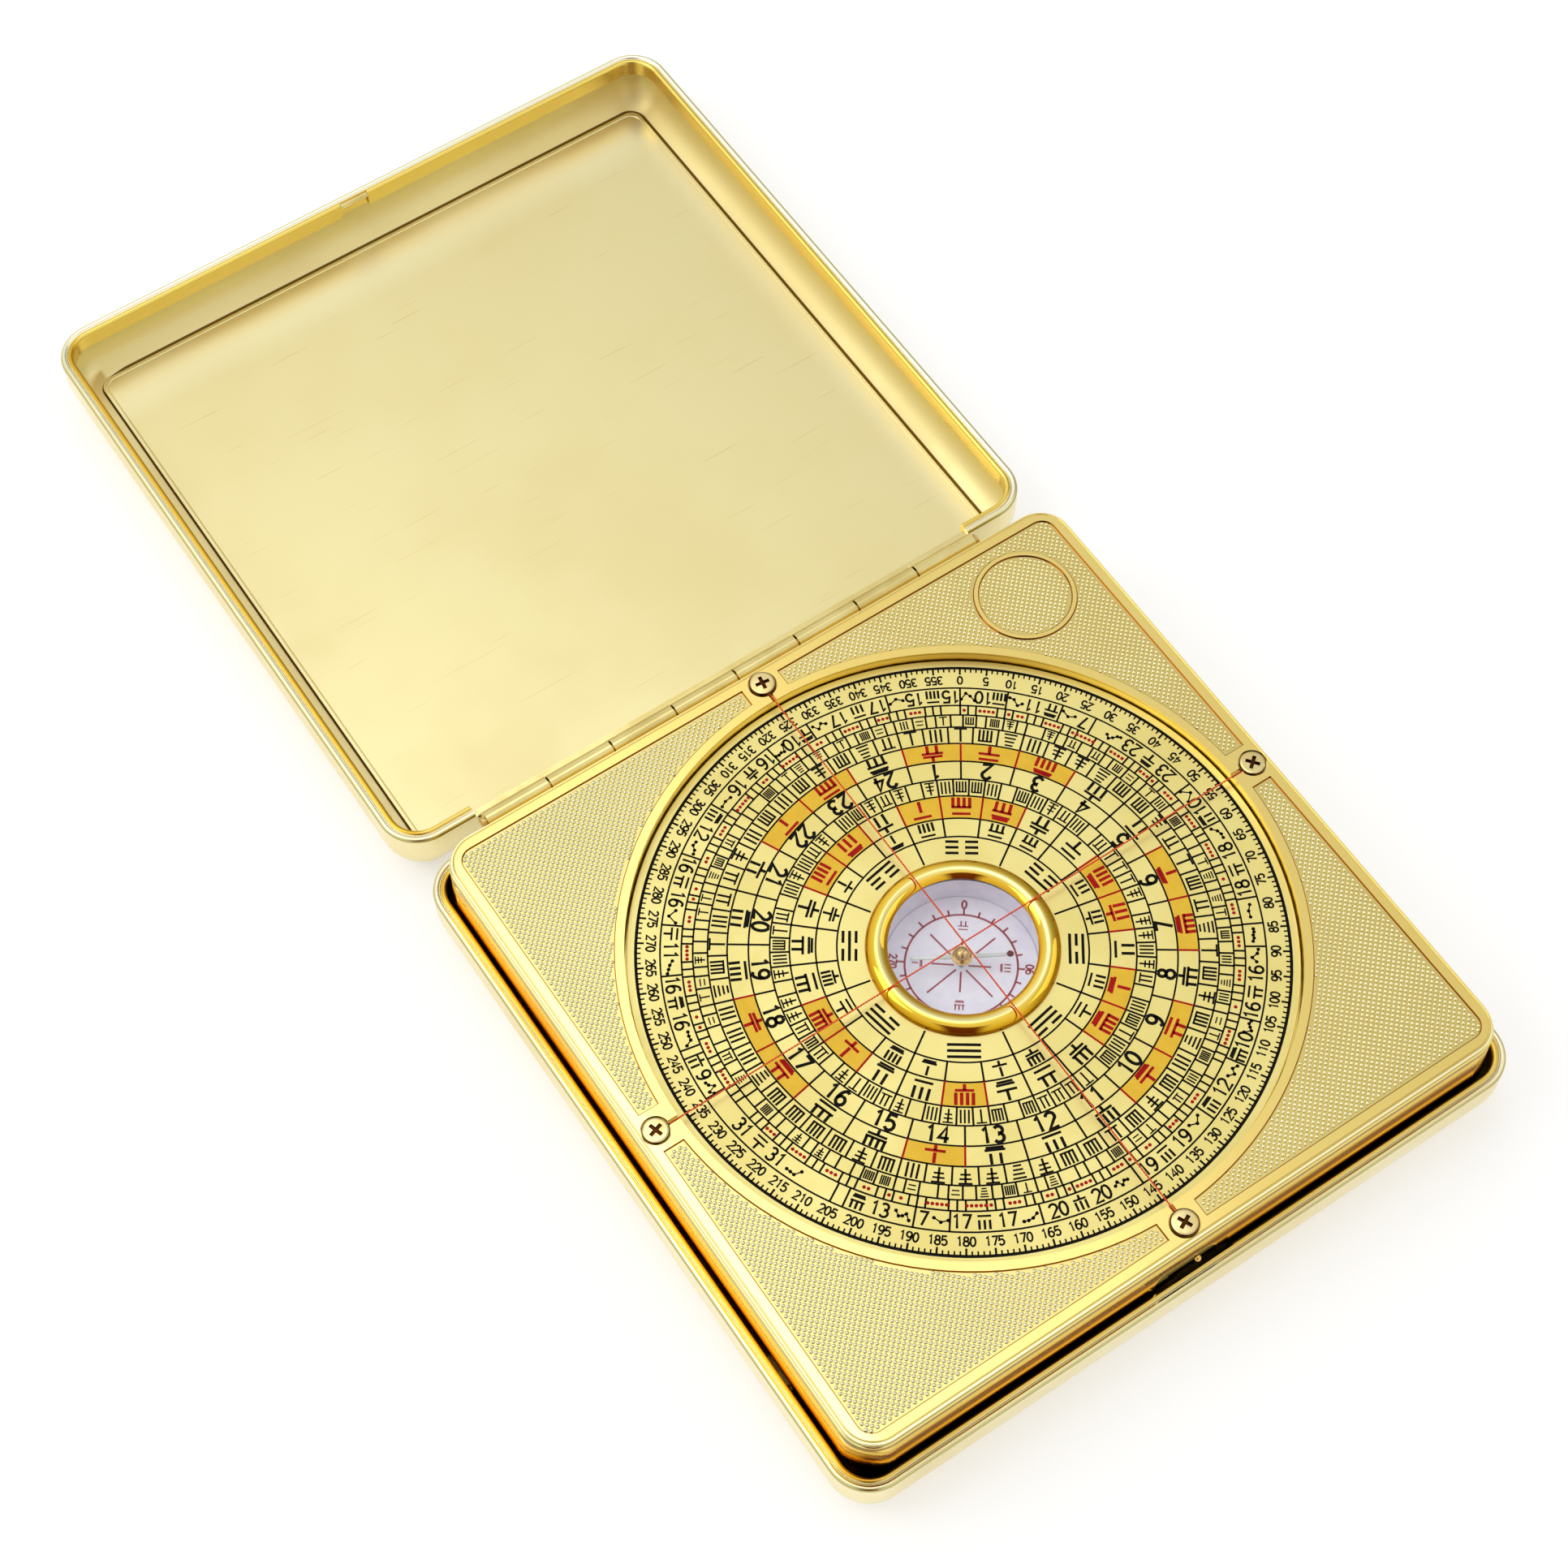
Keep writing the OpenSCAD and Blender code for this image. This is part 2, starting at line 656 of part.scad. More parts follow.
// Spring plate in the gap of the lid's strip; its edge is what the nub holds
module lid_catch() {
    color("palegoldenrod") in_lid() {
        box([catch_x - catch_w / 2 + 0.05, -strip_in_d - catch_t, half_h - catch_h],
            [catch_x + catch_w / 2 - 0.05, -strip_in_d, half_h - 0.15]);
        translate([catch_x - catch_w / 2 + 0.4, -strip_in_d, half_h - catch_h + 0.15]) rotate([0, 90, 0])
            cylinder(r = 0.14, h = catch_w - 0.8, $fn = 24);
    }
}

module dial_disc() {
    color("gold") translate([0, 0, disc_z]) rotate_extrude($fn = 180) polygon([
        [cup_r + 0.02, 0], [dial_r - 0.2, 0], [dial_r, 0.2], [dial_r, dial_t - 0.1],
        [dial_r - 0.1, dial_t], [cup_r + 0.02, dial_t]
    ]);
}

// Turned cup: journal outside, glass seat at the top, snap-ring groove, pivot hole in the floor
module compass_cup() {
    color("lavender") difference() {
        translate([0, 0, cup_z]) cylinder(r = cup_r, h = cup_top_z - cup_z, $fn = 128);
        translate([0, 0, card_z]) cylinder(r = cup_in_r, h = cup_deep, $fn = 128);
        translate([0, 0, glass_z]) cylinder(r = glass_r, h = cup_deep, $fn = 128);
        translate([0, 0, keeper_z]) difference() {
            cylinder(r = cup_r + 1, h = keeper_t);
            cylinder(r = keeper_in_r, h = keeper_t);
        }
        translate([0, 0, cup_z + 0.4]) cylinder(r = pivot_r, h = cup_floor, $fn = 32);
    }
}

// Split ring that snaps into the cup's groove and holds the dial in the plate
module dial_retaining_ring() {
    color("silver") translate([0, 0, keeper_z]) difference() {
        cylinder(r = keeper_in_r + keeper_w, h = keeper_t, $fn = 96);
        cylinder(r = keeper_in_r, h = 3 * keeper_t, center = true, $fn = 96);
        box([0, -0.8, -1], [cup_r + 4, 0.8, 2]);
        for (s = [-1, 1]) rotate(s * 8) translate([keeper_in_r + keeper_w - 0.9, 0, 0])
            cylinder(r = 0.4, h = 3 * keeper_t, center = true, $fn = 24);
    }
}

module compass_card() {
    color("white") translate([0, 0, card_z]) difference() {
        cylinder(r = cup_in_r - 0.05, h = card_t, $fn = 128);
        cylinder(r = pivot_r, h = 3 * card_t, center = true, $fn = 32);
    }
}

// Steel pin pressed into the cup's floor, ground to a point that carries the jewel
module pivot_pin() {
    base_z = cup_z + 0.4;
    color("silver") {
        translate([0, 0, base_z]) cylinder(r = pivot_r, h = tip_z - pin_cone - base_z, $fn = 32);
        translate([0, 0, tip_z - pin_cone]) cylinder(r1 = pivot_r, r2 = 0.04, h = pin_cone, $fn = 32);
    }
}

module compass_glass() {
    color("lightcyan", 0.3) translate([0, 0, glass_z]) cylinder(r = glass_r - 0.05, h = glass_t, $fn = 128);
}

module glass_seal_ring() {
    color("dimgray") translate([0, 0, cup_top_z]) difference() {
        cylinder(r = glass_r + 0.3, h = seal_t, $fn = 96);
        cylinder(r = bezel_in_r + 0.25, h = 3 * seal_t, center = true, $fn = 96);
    }
}

// Pressed ring round the cup: an oval section of three arcs, cut to sit on the dial and the seal
module compass_bezel() {
    lip_z = cup_edge + seal_t;
    half = (bezel_r - bezel_in_r) / 2;
    end_r = bezel_h * 0.74;
    off = half - end_r;
    crown_r = (off * off + bezel_h * bezel_h - end_r * end_r) / 2 / (bezel_h - end_r);
    joint = off * crown_r / (crown_r - end_r);
    color("gold") translate([0, 0, dial_z]) rotate_extrude($fn = 128) difference() {
        translate([(bezel_in_r + bezel_r) / 2, 0]) {
            for (s = [-1, 1]) translate([s * off, 0]) circle(end_r, $fn = 64);
            intersection() {
                translate([0, bezel_h - crown_r]) circle(crown_r, $fn = 96);
                translate([-joint, 0]) square([2 * joint, bezel_h]);
            }
        }
        translate([bezel_in_r - 1, -2]) square([bezel_r - bezel_in_r + 2, 2]);
        translate([bezel_in_r - 1, -2]) square([cup_r + 1.02 - bezel_in_r, 2 + lip_z]);
    }
}

// Flat lozenge blade with a round eye for the jewel
module needle_blade() {
    l = needle_l / 2;
    w = needle_w / 2;
    t = needle_tip_w / 2;
    color("whitesmoke") rotate(needle_turn) translate([0, 0, needle_z]) difference() {
        union() {
            linear_extrude(needle_t)
                polygon([[-l, -t], [0, -w], [l, -t], [l, t], [0, w], [-l, t]]);
            cylinder(r = cap_foot_r - 0.15, h = needle_t, $fn = 48);
        }
        translate([0, 0, -1]) cylinder(r = jewel_r, h = 3, $fn = 48);
    }
}

module needle_cap() {
    dome_z = cap_z + 0.45;
    sphere_r = cap_dome_r * 1.05;
    color("gold") difference() {
        union() {
            translate([0, 0, cap_z]) cylinder(r = cap_foot_r, h = 0.25, $fn = 48);
            translate([0, 0, cap_z + 0.25])
                cylinder(r1 = cap_foot_r - 0.15, r2 = cap_dome_r, h = 0.2, $fn = 48);
            translate([0, 0, dome_z]) intersection() {
                sphere(r = sphere_r, $fn = 48);
                cylinder(r = cap_dome_r, h = 2, $fn = 48);
            }
        }
        translate([0, 0, cap_z - 1]) cylinder(r = jewel_r, h = 1.65, $fn = 48);
    }
}

// Hollow jewel in the cap; its blind bore turns on the pivot's point
module cap_jewel() {
    color("firebrick") difference() {
        translate([0, 0, jewel_z]) cylinder(r = jewel_r, h = cap_z + 0.65 - jewel_z, $fn = 48);
        translate([0, 0, jewel_z - 1])
            cylinder(r = pivot_r + pivot_play, h = tip_z + pivot_play + 1 - jewel_z, $fn = 48);
    }
}

// Painted brass bead on the end of the blade
module needle_bead() {
    color("firebrick") rotate(needle_turn)
        translate([needle_l / 2 - bead_mark_r - 0.1, 0, cap_z]) rotate_extrude($fn = 32) polygon([
            [0, 0], [bead_mark_r, 0], [bead_mark_r, 0.12], [bead_mark_r * 0.7, 0.24], [0, 0.3]
        ]);
}

tray_shell();
tray_rim_strip();
tray_hinge_leaf();
hinge_pin();
face_plate();
plate_screws();
crosshair_thread_lower();
crosshair_thread_upper();
side_clips();
catch_nub();
lid_shell();
lid_rim_strip();
lid_lining_panel();
lid_hinge_leaf();
lid_catch();
dial_disc();
compass_cup();
dial_retaining_ring();
compass_card();
pivot_pin();
compass_glass();
glass_seal_ring();
compass_bezel();
needle_blade();
needle_cap();
cap_jewel();
needle_bead();
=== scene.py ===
import math
import random

import bpy
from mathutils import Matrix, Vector


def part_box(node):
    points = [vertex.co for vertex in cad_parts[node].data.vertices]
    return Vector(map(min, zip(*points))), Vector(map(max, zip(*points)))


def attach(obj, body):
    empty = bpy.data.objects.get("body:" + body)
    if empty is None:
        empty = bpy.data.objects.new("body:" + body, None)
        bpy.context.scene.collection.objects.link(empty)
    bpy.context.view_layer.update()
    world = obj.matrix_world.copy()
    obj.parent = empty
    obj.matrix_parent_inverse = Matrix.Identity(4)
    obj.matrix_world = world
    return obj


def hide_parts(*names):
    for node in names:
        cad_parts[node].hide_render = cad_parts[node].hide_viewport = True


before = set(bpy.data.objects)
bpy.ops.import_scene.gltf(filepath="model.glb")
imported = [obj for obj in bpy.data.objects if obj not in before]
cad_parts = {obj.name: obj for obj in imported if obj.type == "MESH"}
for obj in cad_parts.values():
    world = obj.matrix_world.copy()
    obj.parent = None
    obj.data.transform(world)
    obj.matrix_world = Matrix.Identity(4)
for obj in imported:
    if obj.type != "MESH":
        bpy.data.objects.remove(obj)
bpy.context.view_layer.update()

# Case shells: two shallow pans, tray and lid, drawn from 0.6 mm sheet and plated champagne gold.
# The sheet keeps the fine straight grain of its rolling, which runs along the hinge, and is
# slightly hazy where it is handled. Both lie open on the table.
MM = 0.001
HINGE_Y, SHEET = 50.6, 0.6
CASE_HALF_X, CASE_HALF_Y, CASE_CORNER = 49.3, 48.9, 5.5
LINING_MIDDLE_Y = 2 * HINGE_Y
LINING_HALF_X, LINING_HALF_Y, LINING_CORNER = 44.9, 45.0, 1.8


def tone(red, green, blue):
    """Linear colour of a paint given in 0 to 255 steps."""
    steps = [value / 255 for value in (red, green, blue)]
    return tuple(s / 12.92 if s <= 0.04045 else ((s + 0.055) / 1.055) ** 2.4 for s in steps) + (1.0,)


def add_node(tree, kind, **settings):
    """New shader node; a setting named like a socket fills it, any other sets the node itself."""
    node = tree.nodes.new("ShaderNode" + kind)
    for name, value in settings.items():
        label = name.replace("_", " ")
        if label in node.inputs:
            node.inputs[label].default_value = value
        else:
            setattr(node, name, value)
    return node


def math_node(tree, operation, first, second=None, third=None, clamp=False):
    """Math node on numbers or sockets; returns its output."""
    node = add_node(tree, "Math", operation=operation, use_clamp=clamp)
    for socket, value in zip(node.inputs, (first, second, third)):
        if isinstance(value, bpy.types.NodeSocket):
            tree.links.new(value, socket)
        elif value is not None:
            socket.default_value = value
    return node.outputs[0]


def ramp(tree, value, low, high, to_low=0.0, to_high=1.0):
    """Smooth step of a value from one range to another; returns its output."""
    node = add_node(tree, "MapRange", interpolation_type="SMOOTHSTEP")
    for socket, number in zip(node.inputs, (None, low, high, to_low, to_high)):
        if number is not None:
            socket.default_value = number
    tree.links.new(value, node.inputs[0])
    return node.outputs[0]


def blend_colour(tree, mask, first, second):
    """Mix of two colours, given as tones or as sockets, by a mask socket; returns its output."""
    node = add_node(tree, "Mix", data_type="RGBA")
    tree.links.new(mask, node.inputs[0])
    for socket, value in zip(node.inputs[6:8], (first, second)):
        if isinstance(value, bpy.types.NodeSocket):
            tree.links.new(value, socket)
        else:
            socket.default_value = value
    return node.outputs[2]


def place_xyz(tree):
    """The point's place in the frame of its piece, in mm: three outputs."""
    place = add_node(tree, "TexCoord")
    scale = add_node(tree, "VectorMath", operation="SCALE")
    scale.inputs["Scale"].default_value = 1 / MM
    split = add_node(tree, "SeparateXYZ")
    tree.links.new(place.outputs["Object"], scale.inputs[0])
    tree.links.new(scale.outputs[0], split.inputs[0])
    return split.outputs


def new_group(name, inputs, outputs):
    """Empty shader group with float inputs and the given outputs, and its two end nodes."""
    group = bpy.data.node_groups.new(name, "ShaderNodeTree")
    for label, value in inputs.items():
        socket = group.interface.new_socket(label, in_out="INPUT", socket_type="NodeSocketFloat")
        socket.default_value = value
    for label, kind in outputs.items():
        group.interface.new_socket(label, in_out="OUTPUT", socket_type="NodeSocket" + kind)
    return group, group.nodes.new("NodeGroupInput"), group.nodes.new("NodeGroupOutput")


def stretched_noise(tree, along, across, detail=3.0):
    """Noise drawn out along X; along and across are its counts per mm, as sockets."""
    place = add_node(tree, "TexCoord")
    to_mm = add_node(tree, "VectorMath", operation="SCALE")
    to_mm.inputs["Scale"].default_value = 1 / MM
    counts = add_node(tree, "CombineXYZ")
    multiply = add_node(tree, "VectorMath", operation="MULTIPLY")
    noise = add_node(tree, "TexNoise", Scale=1.0, Detail=detail, Roughness=0.55)
    tree.links.new(place.outputs["Object"], to_mm.inputs[0])
    tree.links.new(along, counts.inputs[0])
    tree.links.new(across, counts.inputs[1])
    tree.links.new(across, counts.inputs[2])
    tree.links.new(to_mm.outputs[0], multiply.inputs[0])
    tree.links.new(counts.outputs[0], multiply.inputs[1])
    tree.links.new(multiply.outputs[0], noise.inputs["Vector"])
    return noise.outputs["Fac"]


# Grain: fine lines of rolling or brushing, as a shade and as a bumped normal
grain_group, ends_in, ends_out = new_group(
    "rolled_grain", {"Along": 0.1, "Across": 4.0, "Depth": 0.2}, {"Shade": "Float", "Normal": "Vector"})
grain_value = stretched_noise(grain_group, ends_in.outputs["Along"], ends_in.outputs["Across"])
grain_bump = add_node(grain_group, "Bump", Distance=0.02 * MM)
grain_group.links.new(ends_in.outputs["Depth"], grain_bump.inputs["Strength"])
grain_group.links.new(grain_value, grain_bump.inputs["Height"])
grain_group.links.new(grain_value, ends_out.inputs["Shade"])
grain_group.links.new(grain_bump.outputs[0], ends_out.inputs["Normal"])

# Haze: soft clouds where the metal is handled, with a few finer specks
haze_group, ends_in, ends_out = new_group("handling_haze", {"Count": 0.05}, {"Mask": "Float"})
haze_cloud = stretched_noise(haze_group, ends_in.outputs["Count"], ends_in.outputs["Count"], 4.0)
haze_group.links.new(ramp(haze_group, haze_cloud, 0.35, 0.68), ends_out.inputs["Mask"])

# Wear: edges rubbed bright, broken up by noise
wear_group, ends_in, ends_out = new_group("edge_wear", {"Width": 0.2}, {"Mask": "Float"})
wear_bevel = add_node(wear_group, "Bevel", samples=3)
wear_width = math_node(wear_group, "MULTIPLY", ends_in.outputs["Width"], MM)
wear_group.links.new(wear_width, wear_bevel.inputs["Radius"])
wear_face = add_node(wear_group, "NewGeometry")
wear_dot = add_node(wear_group, "VectorMath", operation="DOT_PRODUCT")
wear_group.links.new(wear_bevel.outputs[0], wear_dot.inputs[0])
wear_group.links.new(wear_face.outputs["Normal"], wear_dot.inputs[1])
wear_edge = ramp(wear_group, wear_dot.outputs["Value"], 0.99, 0.86)
wear_count = add_node(wear_group, "Value")
wear_count.outputs[0].default_value = 0.8
wear_patch = ramp(wear_group, stretched_noise(wear_group, wear_count.outputs[0], wear_count.outputs[0]),
                  0.3, 0.55, 0.25, 1.0)
wear_group.links.new(math_node(wear_group, "MULTIPLY", wear_edge, wear_patch), ends_out.inputs["Mask"])


def use_group(tree, group, **values):
    """Group node placed in a material with its own values."""
    node = tree.nodes.new("ShaderNodeGroup")
    node.node_tree = group
    for label, value in values.items():
        node.inputs[label].default_value = value
    return node


def metal_finish(name, light, deep, roughness, spread=0.06, along=0.1, across=4.0, depth=0.15,
                 haze=0.05, wear=0.0):
    """Plated metal: two tones mixed by haze and grain, with bumped grain and rubbed edges.
    Returns the material, its tree, its shader and the socket of its colour so far."""
    material = bpy.data.materials.new(name)
    material.use_nodes = True
    tree = material.node_tree
    shader = tree.nodes["Principled BSDF"]
    shader.inputs["Metallic"].default_value = 1.0
    grain = use_group(tree, grain_group, Along=along, Across=across, Depth=depth)
    cloud = use_group(tree, haze_group, Count=haze)
    shade = math_node(tree, "MULTIPLY_ADD", grain.outputs["Shade"], 0.5, cloud.outputs["Mask"])
    colour = blend_colour(tree, math_node(tree, "MULTIPLY", shade, 0.62, clamp=True), light, deep)
    rough = ramp(tree, shade, 0.2, 1.2, max(0.03, roughness - spread), roughness + spread)
    if wear:
        edge = use_group(tree, wear_group, Width=wear)
        bright = tuple(min(1.0, 1.12 * value + 0.04) for value in light[:3]) + (1.0,)
        colour = blend_colour(tree, edge.outputs["Mask"], colour, bright)
        rough = math_node(tree, "MULTIPLY_ADD", edge.outputs["Mask"], -0.3 * roughness, rough)
    tree.links.new(colour, shader.inputs["Base Color"])
    tree.links.new(rough, shader.inputs["Roughness"])
    tree.links.new(grain.outputs["Normal"], shader.inputs["Normal"])
    return material, tree, shader, colour


def dress(material, *nodes):
    """Gives CAD nodes their material."""
    for node in nodes:
        for material_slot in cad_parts[node].material_slots:
            material_slot.material = material


shell_metal, tree, shader, colour = metal_finish(
    "case_satin_gold", tone(247, 236, 184), tone(238, 222, 164), 0.27, along=0.06, across=7.0,
    depth=0.22, haze=0.03, wear=0.25)


def frame_distance(tree, place, middle_y, half_x, half_y, corner):
    """Distance in mm from a rounded rectangle seen from above, less than 0 inside it."""
    past, beyond = [], []
    for value, centre, half in ((place[0], 0.0, half_x), (place[1], middle_y, half_y)):
        off = math_node(tree, "ABSOLUTE", math_node(tree, "SUBTRACT", value, centre))
        past.append(math_node(tree, "SUBTRACT", off, half - corner))
        beyond.append(math_node(tree, "MAXIMUM", past[-1], 0.0))
    squares = math_node(tree, "MULTIPLY_ADD", beyond[0], beyond[0],
                        math_node(tree, "MULTIPLY", beyond[1], beyond[1]))
    inside = math_node(tree, "MINIMUM", math_node(tree, "MAXIMUM", past[0], past[1]), 0.0)
    outside = math_node(tree, "SUBTRACT", math_node(tree, "SQRT", squares), corner)
    return math_node(tree, "ADD", outside, inside)


def case_distance(tree, place):
    """Distance in mm from the outline that tray and lid share, mirrored about the hinge."""
    folded_y = math_node(tree, "ABSOLUTE", math_node(tree, "SUBTRACT", place[1], HINGE_Y))
    return frame_distance(tree, (place[0], folded_y), HINGE_Y, CASE_HALF_X, CASE_HALF_Y, CASE_CORNER)


def overlap(tree, first, second):
    """Where two masks meet: their product. The second may also be a plain share."""
    return math_node(tree, "MULTIPLY", first, second)


# Painted shade: a thin dark line in the pan's corner along the edge of the lining panel, where the gap
# under the panel lies in shade
shell_place = place_xyz(tree)
above_sheet = ramp(tree, shell_place[2], SHEET - 0.15, SHEET - 0.05)
off_lining = frame_distance(tree, shell_place, LINING_MIDDLE_Y, LINING_HALF_X, LINING_HALF_Y,
                            LINING_CORNER)
off_line = math_node(tree, "SUBTRACT", off_lining, ramp(tree, shell_place[0], -44.5, -40.0, 0.2, 0.6))
gap_shade_line = overlap(tree, ramp(tree, off_line, 0.1, 0.0), above_sheet)
# Inside the pan the plating is a little deeper and was left satin
off_case = case_distance(tree, shell_place)
past_edge = ramp(tree, off_case, -0.3, -0.5)
inside_pan = overlap(tree, past_edge, ramp(tree, shell_place[2], 0.62, 1.4))
colour = blend_colour(tree, inside_pan, colour, tone(246, 230, 164))
satin = overlap(tree, past_edge, above_sheet)
rough = shader.inputs["Roughness"].links[0].from_socket
rough = math_node(tree, "ADD", rough, overlap(tree, satin, 0.26))
tree.links.new(rough, shader.inputs["Roughness"])
# Along the lining's left edge the floor stays flat a little further
flat_up = add_node(tree, "VectorTransform", vector_type="NORMAL", convert_from="OBJECT",
                   convert_to="WORLD")
flat_up.inputs[0].default_value = (0.0, 0.0, 1.0)
flat_zone = overlap(tree, ramp(tree, off_lining, 2.2, 1.2), ramp(tree, shell_place[0], -43.0, -44.0))
flat_zone = overlap(tree, flat_zone, above_sheet)
level = add_node(tree, "Mix", data_type="VECTOR")
tree.links.new(overlap(tree, flat_zone, 0.8), level.inputs[0])
tree.links.new(shader.inputs["Normal"].links[0].from_socket, level.inputs[4])
tree.links.new(flat_up.outputs[0], level.inputs[5])
tree.links.new(level.outputs[1], shader.inputs["Normal"])
# Painted shade: the curve above the table is painted a little darker, standing for the ground's dark
# reflection
low_side_shade = overlap(tree, ramp(tree, off_case, -2.6, -2.2), ramp(tree, shell_place[2], 3.4, 2.2))
low_side_shade = overlap(tree, low_side_shade, math_node(tree, "SUBTRACT", 1.0, inside_pan))
colour = blend_colour(tree, low_side_shade, colour, tone(176, 164, 108))
tree.links.new(blend_colour(tree, gap_shade_line, colour, tone(112, 84, 26)), shader.inputs["Base Color"])
dress(shell_metal, "tray_shell", "lid_shell")

# Rim strips: a drawn moulding with two beads and a groove, folded over each shell's edge. The
# beads carry painted highlights and reflections in bands, and the leg inside stays a deeper orange gold.
rim_metal, tree, shader, colour = metal_finish(
    "rim_gold", tone(250, 240, 186), tone(240, 224, 158), 0.28, along=0.08, across=5.0, depth=0.03,
    haze=0.03, wear=0.03)


def tone_bands(tree, value, low, high, stops):
    """Colour along a value from low to high, from pairs of a place and a tone; returns its output."""
    share = math_node(tree, "DIVIDE", math_node(tree, "SUBTRACT", value, low), high - low, clamp=True)
    bands = add_node(tree, "ValToRGB")
    for index, (place, shade) in enumerate(stops):
        spot = (place - low) / (high - low)
        element = bands.color_ramp.elements[index] if index < 2 else bands.color_ramp.elements.new(spot)
        element.position = spot
        element.color = shade
    tree.links.new(share, bands.inputs["Fac"])
    return bands.outputs["Color"]


# Painted highlights, reflections and shade in bands along the outline, from the strip's inner edge to its
# outer one
STRIP_INNER, STRIP_OUTER = -1.75, 0.05
rim_place = place_xyz(tree)
off_strip = case_distance(tree, rim_place)
strip_light_bands = tone_bands(tree, off_strip, STRIP_INNER, STRIP_OUTER, (
    (-1.75, tone(240, 208, 92)), (-1.45, tone(250, 222, 98)), (-1.3, tone(240, 206, 84)),
    (-1.16, tone(222, 176, 56)), (-1.04, tone(244, 222, 130)), (-0.96, tone(255, 251, 228)),
    (-0.6, tone(255, 254, 240)), (-0.45, tone(250, 244, 204)), (-0.25, tone(230, 220, 160)),
    (-0.08, tone(186, 174, 104)), (0.05, tone(170, 158, 88))))
on_beads = ramp(tree, rim_place[2], 8.3, 8.5)
colour = blend_colour(tree, overlap(tree, on_beads, 0.85), colour, strip_light_bands)
# Painted reflection: on the left the strip's inner edge is a deeper orange
left_orange_reflection = overlap(tree, ramp(tree, rim_place[0], -44.5, -46.5), ramp(tree, off_strip, -1.0, -1.15))
colour = blend_colour(tree, overlap(tree, left_orange_reflection, 0.8), colour, tone(222, 172, 40))
inside_leg = ramp(tree, rim_place[2], 8.75, 8.45)
tree.links.new(blend_colour(tree, inside_leg, colour, tone(238, 204, 108)), shader.inputs["Base Color"])
dress(rim_metal, "tray_rim_strip", "lid_rim_strip")

# Lid lining: a flat satin sheet laid on the lid's floor, with one fine pressed line near its edge.
# It shows long faint scratches along the grain and is paler at two edges.
lining_metal, tree, shader, colour = metal_finish(
    "lining_satin_gold", tone(238, 226, 170), tone(230, 215, 154), 0.33, spread=0.04, along=0.04,
    across=9.0, depth=0.16, haze=0.02)
scratch_along = add_node(tree, "Value")
scratch_along.outputs[0].default_value = 0.07
scratch_across = add_node(tree, "Value")
scratch_across.outputs[0].default_value = 2.4
scratch_value = stretched_noise(tree, scratch_along.outputs[0], scratch_across.outputs[0], 1.0)
scratch_mask = ramp(tree, scratch_value, 0.71, 0.76, 0.0, 0.35)
colour = blend_colour(tree, scratch_mask, colour, tone(205, 184, 118))
# The back edge, and less so the right one, are paler
lining_place = place_xyz(tree)
pale_edge = math_node(tree, "MAXIMUM", ramp(tree, lining_place[1], 136.0, 145.0),
                      ramp(tree, lining_place[0], 40.0, 45.0, 0.0, 0.6))
tree.links.new(blend_colour(tree, pale_edge, colour, tone(252, 248, 204)), shader.inputs["Base Color"])
dress(lining_metal, "lid_lining_panel")

# Hinge: two brass leaves whose knuckles were rolled in turn round one pin, soldered to the backs
# of the shells and plated with them. The pin is plain brass with peened heads.
hinge_metal, *_ = metal_finish("hinge_gold", tone(243, 226, 158), tone(214, 192, 118), 0.16,
                               along=0.5, across=1.2, depth=0.12, haze=0.12, wear=0.12)
dress(hinge_metal, "tray_hinge_leaf", "lid_hinge_leaf")
pin_metal, *_ = metal_finish("pin_brass", tone(222, 190, 120), tone(176, 138, 70), 0.3,
                             along=2.0, across=2.0, depth=0.2, haze=0.3, wear=0.1)
dress(pin_metal, "hinge_pin")

# Face plate: a casting plated bright yellow gold, polished on its border, bead, lip and wall. Four
# fields between border and well are sunk and filled with fine round bumps on a slanting lattice.
PLATE_HALF_X, PLATE_HALF_Y, PLATE_CORNER = 46.7, 46.3, 4.2
WALL_LOW_Z, WALL_HIGH_Z = 9.0, 17.0
RECESS_X, RECESS_Z, RECESS_HALF_W, RECESS_HALF_H, RECESS_CORNER = -1.2, 10.2, 4.4, 1.9, 1.4
FIELD_HALF_X, FIELD_HALF_Y, FIELD_CORNER = 45.2, 44.8, 2.0
FIELD_WELL_R, FIELD_BRIDGE = 42.4, 2.7
FIELD_FLOOR_Z, PLATE_TOP_Z = 16.6, 16.8
RING_CENTRE, RING_R, RING_HALF_W = (35.7, 36.3), 6.4, 0.25
BUMP_PITCH, BUMP_R, BUMP_SIDES, BUMP_SHOULDER, BUMP_MARGIN = 0.6, 0.27, 8, 0.72, 0.34
LATTICE_REACH = 80
GREYER_FROM_X, GREYER_TO_X = 5.0, -32.0

plate_metal, tree, shader, colour = metal_finish(
    "plate_polished_gold", tone(252, 228, 140), tone(248, 218, 124), 0.1, spread=0.02, along=0.3,
    across=0.6, depth=0.02, haze=0.03, wear=0.03)
plate_place = place_xyz(tree)
face_up = add_node(tree, "NewGeometry")
face_split = add_node(tree, "SeparateXYZ")
tree.links.new(face_up.outputs["Normal"], face_split.inputs[0])
upward = ramp(tree, face_split.outputs[2], 0.7, 0.95)
sunk = overlap(tree, ramp(tree, plate_place[2], 16.74, 16.68), upward)
off_plate = frame_distance(tree, plate_place, 0.0, PLATE_HALF_X, PLATE_HALF_Y, PLATE_CORNER)
